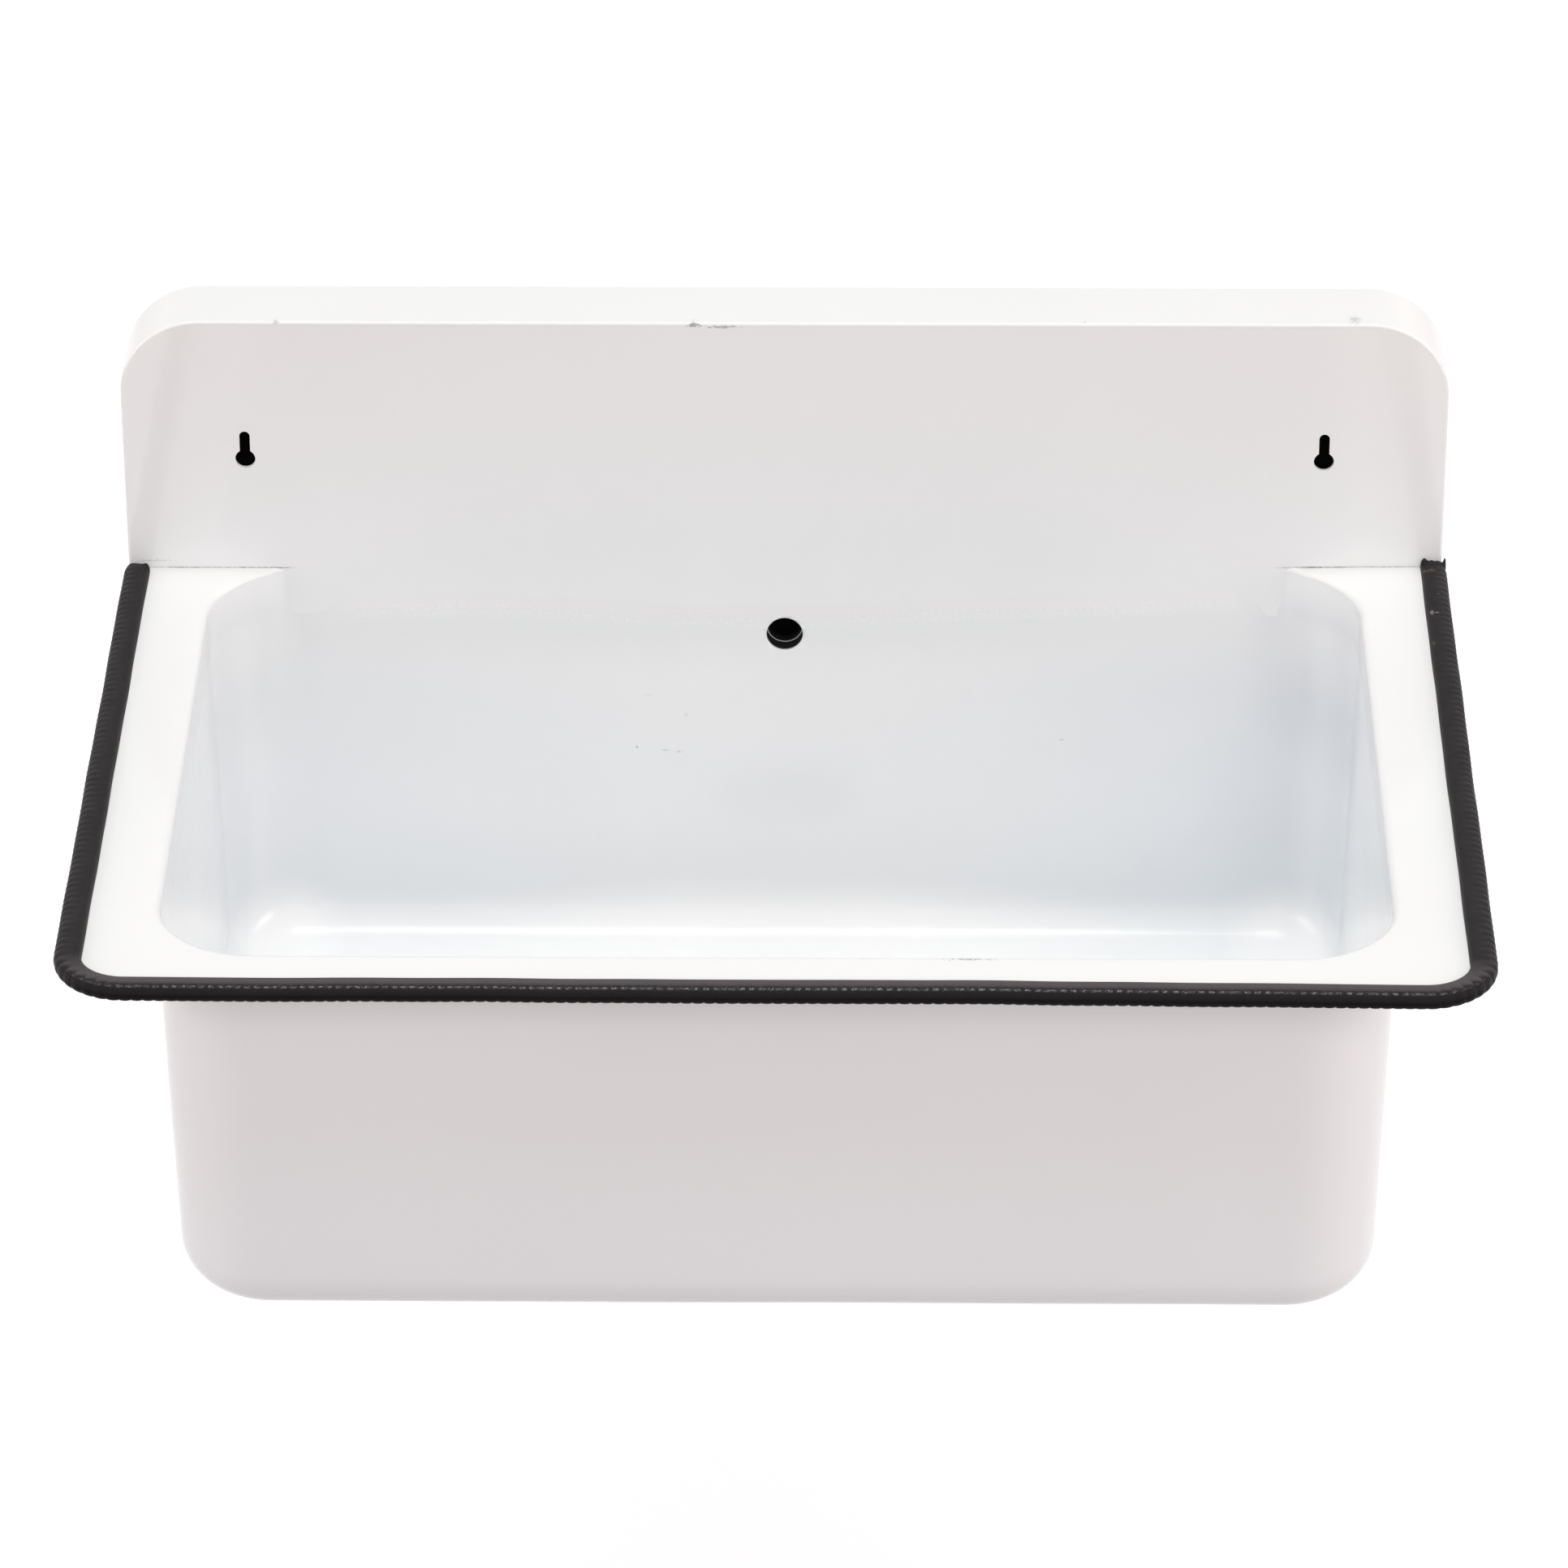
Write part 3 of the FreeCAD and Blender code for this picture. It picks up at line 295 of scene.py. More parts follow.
# The bend under the backsplash fades between these distances from the middle and these depths, and
# from the back wall over this width. The walls' waves begin and are full at the last two depths.
NEAR_MIDDLE, FADE_DEPTHS, BACK_WIDTH, WAVE_DEPTHS = (225, 262), (90, 150), 6, (40, 100)
# How far the bowl lies behind the backsplash's face: from 12 to 18 mm over the bend, beside the
# opening's corners, and at most, for the inner and the outer face
BEHIND_FACE, OVER_BEND, FLUSH, INNER_LIMIT, OUTER_LIMIT = 0.9, (12, 18), 0.05, 0.8, 1.0

# Depth of the bend under the backsplash, at places along x
CREASE = ((-300, -257, -222, -158, -72, 0, 100, 186, 255, 300), (33, 32, 25, 24, 29, 31, 26, 22, 19, 17))


def settle_back(points, sizes, inner):
    """Give the back wall its wavy bend: a point's y is the slope's tangent times the soft depth under
    the crease. Above the crease the wall goes smoothly into the backsplash's sheet, and beside the
    opening's corners it lies 0.05 mm behind that sheet's face."""
    x, y, z = points[..., 0], points[..., 1], points[..., 2]
    depth = LEDGE_TOP - z
    slope = math.tan(sizes.back_draft)
    straight = np.maximum(depth - sizes.skirt, 0) * slope
    near = 1 - smooth(np.abs(x), *NEAR_MIDDLE)
    back = np.clip(1 + (y + straight - (0 if inner else sizes.sheet)) / BACK_WIDTH, 0, 1)
    fade = 1 - smooth(depth, *FADE_DEPTHS)
    crease = np.interp(x, *CREASE)
    bend = soft_slope(depth, crease, sizes.crease_softness) * slope
    moved = y - (bend - straight) * near * back * fade
    if inner:
        moved = moved + BEHIND_FACE * smooth(crease - depth, *OVER_BEND) * near * back
        moved = moved + FLUSH * (1 - near) * (y > -0.01)
    clipped = np.where(depth < sizes.skirt, np.minimum(moved, INNER_LIMIT if inner else OUTER_LIMIT), moved)
    return np.stack([x, clipped, z + ledge_lift(x, y) * (1 - smooth(depth, 5, 60))], -1)


def press_waves(points, sizes):
    """Slow waves in the pressed walls and floor: sums of sines of x, y and z, faded out near the rim."""
    x, y, z = (points[..., i] for i in range(3))
    depth = LEDGE_TOP - z
    share = smooth(depth, *WAVE_DEPTHS) * sizes.press_wave
    first = np.sin(x / 47 + 0.8) * np.cos(z / 39) + 0.6 * np.sin(x / 23 - y / 31)
    second = np.sin(y / 41 + 1.9) * np.cos(z / 35) + 0.6 * np.sin(z / 21 + y / 29)
    third = np.sin(x / 52 + y / 61) + 0.6 * np.cos(x / 27 - y / 33)
    return points + np.stack([second, first, third * 0.6], -1) * share[..., None]


# Shares of the way over the ledge at which its rings lie
LEDGE_SHARES = np.linspace(0, 1, 6)[:, None, None]


def bowl_surface(sizes):
    """The whole bowl as one closed grid of rings: out from the drain over the seat and the floor, up
    the inner walls, over the lip and the ledge, round its edge, and back under it all to the drain."""
    walk = corner_walk((110, 30, 70, 30), 20)
    inner = bowl_rings(walk, sizes, 0.0)
    outer = bowl_rings(walk, sizes, sizes.sheet)
    inner_dish = dish_rings(inner[0], sizes, 0.0)
    outer_dish = dish_rings(outer[0], sizes, sizes.sheet)
    inner, outer = settle_back(inner, sizes, True), settle_back(outer, sizes, False)

    def rim(inset, depth):
        """A ring round the ledge's edge, whose back runs inside the backsplash's sheet."""
        half, corner = HALF_WIDTH - inset, sizes.ledge_corner - inset
        flat = ring(walk, half, -LEDGE_FRONT - inset, 90.0, corner, depth)
        flat[:, 1] = np.minimum(flat[:, 1], 0.9)
        back = inner[-1][:, 1] > -0.5
        toward = ring(walk, half, -LEDGE_FRONT - inset, 0.9, 0.3, depth)
        is_back = (walk[0] <= 1) & (walk[1] <= 1)
        flat[is_back] = toward[is_back]
        flat[:, 0] = np.where(is_back & back, toward[:, 0], flat[:, 0])
        flat[:, 2] += ledge_lift(flat[:, 0], flat[:, 1])
        return flat

    sheet = sizes.sheet
    edge = np.array([rim(inset, depth) for inset, depth in (
        (0.7, 0.0), (0.2, 0.2), (0.0, 0.7), (0.0, sheet - 0.7), (0.2, sheet - 0.2), (0.7, sheet))])
    top = inner[-1][None] * (1 - LEDGE_SHARES) + edge[0][None] * LEDGE_SHARES
    under = edge[-1][None] * (1 - LEDGE_SHARES) + outer[-1][None] * LEDGE_SHARES
    rows = np.concatenate([inner_dish, inner, top[1:-1], edge, under[1:-1], outer[::-1], outer_dish[::-1]])
    return press_waves(rows, sizes) * MM


def edging_section(sizes):
    """The edging's section, out and up from its middle line: |u / half|^p + |w / tall|^p = 1, walked
    round once. Returns the points, and the share of the ribs' height that each gets."""
    turn = np.linspace(0, 2 * math.pi, 39)[:-1] + math.pi
    cosine, sine = np.cos(turn), np.sin(turn)
    power = 2 / sizes.squareness
    u = sizes.width / 2 * np.sign(cosine) * np.abs(cosine) ** power
    w = sizes.height / 2 * np.sign(sine) * np.abs(sine) ** power
    points = np.stack([u, w], 1)
    return points, smooth(points[:, 0], -2.5, 4.0)


def edging_path(inset, corner, steps):
    """A line at a distance inside the ledge's edge, round its three free sides and evenly spaced: a
    straight run, a quarter turn, the front, a quarter turn and a straight run. Returns places,
    outward directions and lengths run, counted from the front's middle."""
    side, front = HALF_WIDTH - inset, LEDGE_FRONT + inset
    radius = corner - inset
    straight = -front - radius
    lengths = np.array([straight, radius * math.pi / 2, 2 * (side - radius), radius * math.pi / 2, straight])
    stops = np.concatenate([[0], np.cumsum(lengths)])
    run = np.linspace(0, stops[-1], steps)
    knots = [(-side, 0), (-side, front + radius), (radius - side, front), (side - radius, front),
             (side, front + radius), (side, 0)]
    place = np.zeros((steps, 2))
    out = np.zeros((steps, 2))
    for piece, first, last, outward in ((0, 0, 1, (-1, 0)), (2, 2, 3, (0, -1)), (4, 4, 5, (1, 0))):
        inside = (run >= stops[piece]) & (run <= stops[piece + 1])
        share = ((run[inside] - stops[piece]) / lengths[piece])[:, None]
        place[inside] = np.array(knots[first]) * (1 - share) + np.array(knots[last]) * share
        out[inside] = outward
    for piece, centre, begin in ((1, (radius - side, front + radius), math.pi),
                                 (3, (side - radius, front + radius), 1.5 * math.pi)):
        inside = (run > stops[piece]) & (run < stops[piece + 1])
        angle = begin + (run[inside] - stops[piece]) / radius
        direction = np.stack([np.cos(angle), np.sin(angle)], 1)
        place[inside] = np.array(centre) + radius * direction
        out[inside] = direction
    return place, out, run - run[-1] / 2


# How the edging lies: how far it stands forward at the right and in the middle, and its slight waves,
# as height and length, to the side and upwards
RIGHT_BULGE, SET_BACK, MIDDLE_BULGE = 3.0, 0.4, 0.5
SWAYS, RISES = ((0.1, 23.0), (0.07, 9.7)), ((0.12, 31.0), (0.06, 12.3))
UNDER_LEDGE = 0.5


def waves(run, pairs):
    """The sum of sines of the length run, each as height * sin(run / length)."""
    return sum(height * np.sin(run / length) for height, length in pairs)


def settled_path(sizes, corner, steps):
    """The edging's middle line as it lies: it bulges forward at the right front and a little in the
    middle, and climbs from its ends to the front. Returns places, directions, heights and lengths."""
    place, out, run = edging_path(sizes.width / 2 - sizes.overhang, corner, steps)
    ahead = smooth(-place[:, 1], 330, 400)
    right = RIGHT_BULGE * smooth(place[:, 0], 60, 310)
    middle = MIDDLE_BULGE * np.exp(-((place[:, 0] - 15) / 100) ** 2)
    base = place + out * waves(run, SWAYS)[:, None]
    base[:, 1] -= (right - SET_BACK + middle) * ahead
    climb = sizes.climb * smooth(-place[:, 1], 40, 300)
    height = LEDGE_TOP - UNDER_LEDGE + climb + waves(run, RISES) + ledge_lift(base[:, 0], base[:, 1])
    return base, out, height, run


# The edging's length, in mm, the steps in one repeat of its ribs, the power of a rib's arch, and the
# y that its ends don't pass
AROUND, STEPS, ARCH, EDGING_CLEAR = 1523, 32, 0.6, -0.02


def fade(distance, length):
    """1 at no distance and about a third at the length: e^-(distance / length)^2."""
    return np.exp(-(distance / length) ** 2)


def end_shapes(u, w, run):
    """How far the edging's points move at its two ends: up, along x and back from the backsplash. The
    left end is cut aslant. The right one is torn: its inner corner stands up, and a tip stands out
    over a notch."""
    to_left, to_right = (run - run[0])[:, None], (run[-1] - run)[:, None]
    top, inner, outer = smooth(w, -1.0, 3.0), smooth(-u, 2.0, 5.5), smooth(u, 3.0, 6.0)
    raised = 2.45 * fade(to_right, 2.2) + fade(to_left, 4.0)
    tip = 3.6 * fade(to_right, 1.6) * smooth(u, 4.6, 6.0) * smooth(w, -0.5, 2.5)
    sunk = 0.7 * fade(to_left, 3.0) * (1 - inner)
    up = raised * top * inner + tip - sunk * top
    aside = outer * (0.3 * fade(to_right, 2.2) - 1.3 * fade(to_right - 3.6, 1.8))
    slant = 2.2 - 0.22 * u + 0.35 * np.maximum(u - 3, 0) ** 2
    ragged = 0.5 * (1 + np.sin(u * 1.7))
    return up, aside, np.clip(1 - to_left / 25, 0, 1) * slant + np.clip(1 - to_right / 15, 0, 1) * ragged


def edging_surface(sizes, corner):
    """The ribbed edging: the section carried along the path. A rib is the arch |cos|^0.6 of the way
    along, which leaves narrow grooves, and four of them make one repeat. Returns the points, how deep
    each lies in a groove, and the pattern of the gloss."""
    repeats = round(AROUND / sizes.repeat)
    base, out, height, run = settled_path(sizes, corner, repeats * STEPS + 1)
    section, rib_share = edging_section(sizes)
    way = run / (run[-1] - run[0]) * repeats * 2 * math.pi
    arch = np.abs(np.cos(2 * way - math.radians(64))) ** ARCH
    pulse = 0.8 + 0.2 * np.sin(run / 37.0) * np.cos(run / 11.0)
    outward = section / np.linalg.norm(section, axis=1)[:, None]
    shift = ((arch - 1) * pulse * sizes.rib_height)[:, None] * rib_share[None]
    u, w = section[None, :, 0], section[None, :, 1]
    across, above = u + shift * outward[None, :, 0], w + shift * outward[None, :, 1]
    up, aside, cut = end_shapes(u, w, run)
    x = base[:, :1] + out[:, :1] * across + aside
    y = base[:, 1:] + out[:, 1:] * across - cut
    z = height[:, None] + above + up
    dash = 0.5 + 0.25 * np.cos(4 * way - math.radians(22)) + 0.4 * np.cos(5 * way + math.radians(145))
    flat = np.ones(len(section))[None]
    groove = (1 - arch)[:, None] * rib_share[None]
    return np.stack([x, np.minimum(y, EDGING_CLEAR), z], -1) * MM, groove, np.clip(dash, 0, 1)[:, None] * flat


# The strip lies off the edging's middle line, outwards and down, and its left end stands back by a
# distance that fades over a length, behind the slanted cut. Then the end's distance from the panel.
STRIP_OUT, STRIP_DOWN, STRIP_BACK, STRIP_FADE, STRIP_CLEAR = 0.5, 0.5, 6.0, 30, -1.0


def strip_surface(sizes, corner):
    """The steel strip in the edging: a channel section, open inwards, carried along the same path."""
    half, tall, sheet = sizes.strip_width / 2, sizes.strip_height / 2, sizes.strip_sheet
    base, out, height, run = settled_path(sizes, corner, 301)
    u = np.array([-half, half, half, -half, -half, half - sheet, half - sheet, -half]) + STRIP_OUT
    w = np.array([-tall, -tall, tall, tall, tall - sheet, tall - sheet, sheet - tall, sheet - tall])
    x = base[:, :1] + out[:, :1] * u
    y = base[:, 1:] + out[:, 1:] * u - STRIP_BACK * fade(run - run[0], STRIP_FADE)[:, None]
    z = height[:, None] - STRIP_DOWN + w
    return np.stack([x, np.minimum(y, STRIP_CLEAR), z], -1) * MM


def tag_points(made, name, values):
    """Give every point of a grid a value that a material reads by name."""
    layer = made.data.attributes.new(name, "FLOAT", "POINT")
    layer.data.foreach_set("value", np.ascontiguousarray(values, dtype=np.float32).ravel())


def grid_object(name, points, close_rows=False, close_columns=False, cap_ends=False):
    """A mesh from a grid of points, rows by columns, with its last row or column joined to the first
    where it is closed. A capped grid gets one face over its first and its last row."""
    rows, columns = points.shape[:2]
    index = np.arange(rows * columns).reshape(rows, columns)
    below = np.roll(index, -1, 0) if close_rows else index[1:]
    index_here = index if close_rows else index[:-1]
    right = np.roll(index_here, -1, 1)
    below_right = np.roll(below, -1, 1)
    quads = np.stack([index_here, below, below_right, right], -1)
    if not close_columns:
        quads = quads[:, :-1]
    quads = quads.reshape(-1, 4)
    faces = quads.tolist()
    if cap_ends:
        faces += [index[0].tolist(), index[-1][::-1].tolist()]
    mesh = bpy.data.meshes.new(name)
    mesh.from_pydata(points.reshape(-1, 3).tolist(), [], faces)
    mesh.polygons.foreach_set("use_smooth", np.ones(len(faces), bool))
    if cap_ends:
        mesh.polygons[len(faces) - 1].use_smooth = False
        mesh.polygons[len(faces) - 2].use_smooth = False
    mesh.update()
    made = bpy.data.objects.new(name, mesh)
    bpy.context.scene.collection.objects.link(made)
    return made


# Materials

class Value:
    """A node's output. Sums, products and comparisons with it make further nodes in its tree."""

    def __init__(self, socket):
        self.socket, self.tree = socket, socket.id_data

    def __add__(self, other):
        return maths("ADD", self, other)

    def __sub__(self, other):
        return maths("SUBTRACT", self, other)

    def __rsub__(self, other):
        return maths("SUBTRACT", other, self)

    def __mul__(self, other):
        return maths("MULTIPLY", self, other)

    def __rtruediv__(self, other):
        return maths("DIVIDE", other, self)

    def __lt__(self, other):
        return maths("LESS_THAN", self, other)

    def __gt__(self, other):
        return maths("LESS_THAN", other, self)

    def __abs__(self):
        return maths("ABSOLUTE", self)


def socket_value(socket, given):
    """Set a socket to a plain value, or join it to a node's output."""
    if isinstance(given, Value):
        given.tree.links.new(given.socket, socket)
    elif given is not None:
        socket.default_value = given


def node(tree, kind, ins=None, **settings):
    """A node with its settings, and its inputs by name or number."""
    made = tree.nodes.new(kind)
    for key, setting in settings.items():
        setattr(made, key, setting)
    for key, given in (ins or {}).items():
        socket_value(made.inputs[key], given)
    return made


def tree_of(values):
    return next(value.tree for value in values if isinstance(value, Value))


def made_from(kind, ins, out=0, **settings):
    """The output of a new node in its inputs' tree."""
    return Value(node(tree_of(ins.values()), kind, ins, **settings).outputs[out])


def maths(operation, *values):
    return made_from("ShaderNodeMath", dict(enumerate(values)), operation=operation)


def scaled(value, gain, base):
    """value * gain + base."""
    return maths("MULTIPLY_ADD", value, gain, base)


def largest(*values):
    result = values[0]
    for value in values[1:]:
        result = maths("MAXIMUM", result, value)
    return result


def reach(a, b):
    """The length of (a, b)."""
    return maths("SQRT", a * a + b * b)


def span(value, low, high, to_low=0.0, to_high=1.0, kind="LINEAR"):
    """Map a value from low..high to to_low..to_high, held at both ends."""
    ins = {"Value": value, "From Min": low, "From Max": high, "To Min": to_low, "To Max": to_high}
    return made_from("ShaderNodeMapRange", ins, "Result", interpolation_type=kind)


def soft(value, low, high, to_low=0.0, to_high=1.0):
    return span(value, low, high, to_low, to_high, "SMOOTHSTEP")


def band(value, middle, half, edge):
    """1 within half of the middle and 0 further out than the edge past it."""
    return span(abs(value - middle), half, half + edge, 1.0, 0.0)


def mixed(share, first, second, blend="MIX"):
    """Two colours mixed by a share, or blended."""
    given = {"Factor_Float": share, "A_Color": first, "B_Color": second}
    made = node(tree_of(given.values()), "ShaderNodeMix", data_type="RGBA", blend_type=blend)
    for socket in made.inputs:
        socket_value(socket, given.get(socket.identifier))
    return Value(next(socket for socket in made.outputs if socket.identifier == "Result_Color"))


def tinted(tone, share, tint):
    """The tone times a tint, where the share is 1."""
    return mixed(1.0, tone, mixed(share, WHITE, (*tint, 1)), "MULTIPLY")


def noise(place, scale, detail=2.0, rough=0.5, out="Fac"):
    ins = {"Vector": place, "Scale": scale, "Detail": detail, "Roughness": rough}
    return made_from("ShaderNodeTexNoise", ins, out)


def vector(operation, a, b=None, scale=None):
    """A vector from one and either another or a scale."""
    ins = {0: a, 1: b} if scale is None else {0: a, "Scale": scale}
    return made_from("ShaderNodeVectorMath", ins, operation=operation)


def length(value):
    return made_from("ShaderNodeVectorMath", {0: value}, "Value", operation="LENGTH")


def split(value):
    """The x, y and z of a vector."""
    return [Value(out) for out in node(value.tree, "ShaderNodeSeparateXYZ", {0: value}).outputs]


def tagged(tree, name):
    """A value that the mesh's points carry."""
    return Value(node(tree, "ShaderNodeAttribute", attribute_name=name).outputs["Fac"])


def dress(made, **values):
    """Set a node's inputs by their names, with _ for a blank."""
    for key, given in values.items():
        socket_value(made.inputs[key.replace("_", " ")], given)


def new_group(name, ins, outs):
    """A shader node group with inputs, given as (name, kind, default), and outputs. Returns its inputs
    as values, and the node that takes its outputs."""
    tree = bpy.data.node_groups.new(name, "ShaderNodeTree")
    for label, kind, default in ins:
        socket = tree.interface.new_socket(label, in_out="INPUT", socket_type=kind)
        if default is not None:
            socket.default_value = default
    for label, kind in outs:
        tree.interface.new_socket(label, in_out="OUTPUT", socket_type=kind)
    given = {socket.name: Value(socket) for socket in tree.nodes.new("NodeGroupInput").outputs}
    return given, tree.nodes.new("NodeGroupOutput")


def group_node(name, **ins):
    """The outputs of a shared group, whose inputs are given by their names, with _ for a blank."""
    made = node(tree_of(ins.values()), "ShaderNodeGroup", node_tree=bpy.data.node_groups[name])
    dress(made, **ins)
    return {out.name: Value(out) for out in made.outputs}


WHITE = (1, 1, 1, 1)
FLOAT, COLOUR, VECTOR = "NodeSocketFloat", "NodeSocketColor", "NodeSocketVector"
# The drain's axis, round which metal is turned, lies this far from the backsplash, in metres
DRAIN_BACK = 0.185


def make_groups():
    """The effects that several materials share."""
    given, end = new_group("Ripple", [("Place", VECTOR, None), ("Broad Scale", FLOAT, 90.0),
                                      ("Fine Scale", FLOAT, 900.0), ("Fine Share", FLOAT, 0.3)], [("Height", FLOAT)])
    broad = noise(given["Place"], given["Broad Scale"], 1.0)
    dress(end, Height=scaled(noise(given["Place"], given["Fine Scale"]), given["Fine Share"], broad))

    given, end = new_group("Drift", [("Place", VECTOR, None), ("Color", COLOUR, None), ("Scale", FLOAT, 6.0),
                                     ("Amount", FLOAT, 0.03)], [("Color", COLOUR), ("Mask", FLOAT)])
    level = span(noise(given["Place"], given["Scale"], 4.0, 0.55), 0.3, 0.7, -1.0, 1.0)
    dress(end, Color=vector("SCALE", given["Color"], scale=scaled(level, given["Amount"], 1.0)), Mask=level)

    given, end = new_group("Specks", [("Place", VECTOR, None), ("Scale", FLOAT, 60.0), ("Share", FLOAT, 0.1),
                                      ("Size", FLOAT, 0.12)], [("Mask", FLOAT)])
    warp = noise(given["Place"], given["Scale"] * 3.0, out="Color")
    moved = vector("ADD", given["Place"], vector("SCALE", warp, scale=0.5 / given["Scale"]))
    cell = node(moved.tree, "ShaderNodeTexVoronoi", {"Vector": moved, "Scale": given["Scale"]}).outputs
    chance = made_from("ShaderNodeSeparateColor", {0: Value(cell["Color"])})
    dress(end, Mask=(Value(cell["Distance"]) < given["Size"]) * (chance < given["Share"]))

    given, end = new_group("Brushed", [("Place", VECTOR, None), ("Scale", FLOAT, 300.0),
                                       ("Base Roughness", FLOAT, 0.3)], [("Height", FLOAT), ("Roughness", FLOAT)])
    x, y, z = split(given["Place"])
    turned = made_from("ShaderNodeCombineXYZ", {"X": reach(x, y + DRAIN_BACK), "Y": z, "Z": 0.0})
    grain = noise(turned, given["Scale"] * 8.0, 3.0, 0.6)
    dress(end, Height=grain, Roughness=span(grain, 0.3, 0.7, -0.06, 0.06) + given["Base Roughness"])


def start_material(name):
    """A new material, its Principled shader and the Object coordinates."""
    material = bpy.data.materials.new(name)
    material.use_nodes = True
    tree = material.node_tree
    tree.nodes.clear()
    shader = tree.nodes.new("ShaderNodeBsdfPrincipled")
    tree.links.new(shader.outputs[0], tree.nodes.new("ShaderNodeOutputMaterial").inputs[0])
    return material, shader, Value(tree.nodes.new("ShaderNodeTexCoord").outputs["Object"])


def drifting(place, colour, scale, gain):
    """A colour with a slow drift of tone: its Color and the drift as Mask."""
    return group_node("Drift", Place=place, Color=(*colour, 1), Scale=scale, Amount=gain)


def rippled(place, broad, fine, share):
    return group_node("Ripple", Place=place, Broad_Scale=broad, Fine_Scale=fine, Fine_Share=share)["Height"]


def bumped(strength, distance, height):
    return made_from("ShaderNodeBump", {"Strength": strength, "Distance": distance, "Height": height})


def from_mark(place, middle, size):
    """How far a place is from a mark: 0 in its middle and 1 on its outline."""
    return length(vector("DIVIDE", vector("SUBTRACT", place, middle), size))


# Worn places of the enamel, in metres: middle, reach along x, y and z, and how dark each is
CHIPS = (
    ((-0.0467, 0.001, 0.0788), (0.0040, 0.004, 0.0010), 0.7),
    ((-0.0320, 0.001, 0.0778), (0.0075, 0.004, 0.0007), 0.6),
    ((0.2968, 0.006, 0.0799), (0.0030, 0.004, 0.0010), 0.35),
    ((-0.2642, 0.001, 0.0795), (0.0014, 0.003, 0.0010), 0.35),
    ((0.0925, -0.3977, -0.0653), (0.0110, 0.002, 0.0012), 0.75),
    ((-0.0049, -0.3925, -0.0650), (0.0010, 0.0013, 0.0010), 0.6),
    ((0.0040, -0.2660, -0.2790), (0.0010, 0.0013, 0.0010), 0.6),
    ((-0.0792, -0.0034, -0.1709), (0.0007, 0.0013, 0.0008), 0.6),
    ((-0.0640, -0.0036, -0.1730), (0.0020, 0.0013, 0.0005), 0.35),
    ((-0.0570, -0.0036, -0.1738), (0.0016, 0.0013, 0.0005), 0.35),
    ((-0.0529, -0.0026, -0.1514), (0.0007, 0.0013, 0.0012), 0.15),
    ((-0.0720, -0.0026, -0.1400), (0.0020, 0.0013, 0.0005), 0.1),
    ((0.1480, -0.0032, -0.1660), (0.0010, 0.0013, 0.0006), 0.35),
    ((-0.3340, 0.0005, -0.0607), (0.0090, 0.003, 0.0004), 0.25),
    ((-0.3310, 0.0005, -0.0596), (0.0050, 0.003, 0.0003), 0.2),
)


# Painted shade and light beside the bowl's middle: side, the x at which each begins and is full, its mask and the
# tint. The deep and corner ones are painted shade, bluer and darker low in the back. The wall ones are painted light
# on the side walls.
PAINTED_SIDE_LIGHT = (
    (-1, 0.03, 0.29, "deep", (0.965, 0.975, 0.985)),
    (1, 0.03, 0.29, "deep", (0.92, 0.94, 0.96)),
    (-1, 0.265, 0.29, "walls", (1.03, 1.03, 1.03)),
    (1, 0.265, 0.29, "walls", (1.08, 1.08, 1.08)),
    (-1, 0.235, 0.275, "corners", (0.96, 0.965, 0.965)),
    (1, 0.235, 0.275, "corners", (0.905, 0.91, 0.925)),
)
# Painted light on the floor, and painted shade on the lower back wall and on the ledge
PAINTED_FLOOR_LIGHT, PAINTED_BACK_SHADE, PAINTED_LEDGE_SHADE = (0.942, 0.952, 0.962, 1), (0.952, 0.957, 0.958), (0.98, 0.98, 0.97)
# Along the bend: a painted pinkish reflection above, a painted greenish and slightly darker one below, and a painted
# glint on it
PAINTED_ABOVE_REFLECTION, PAINTED_BELOW_REFLECTION, PAINTED_GLINT = (1.0, 0.985, 0.985), (0.985, 0.992, 0.988), (1.05, 1.05, 1.05)


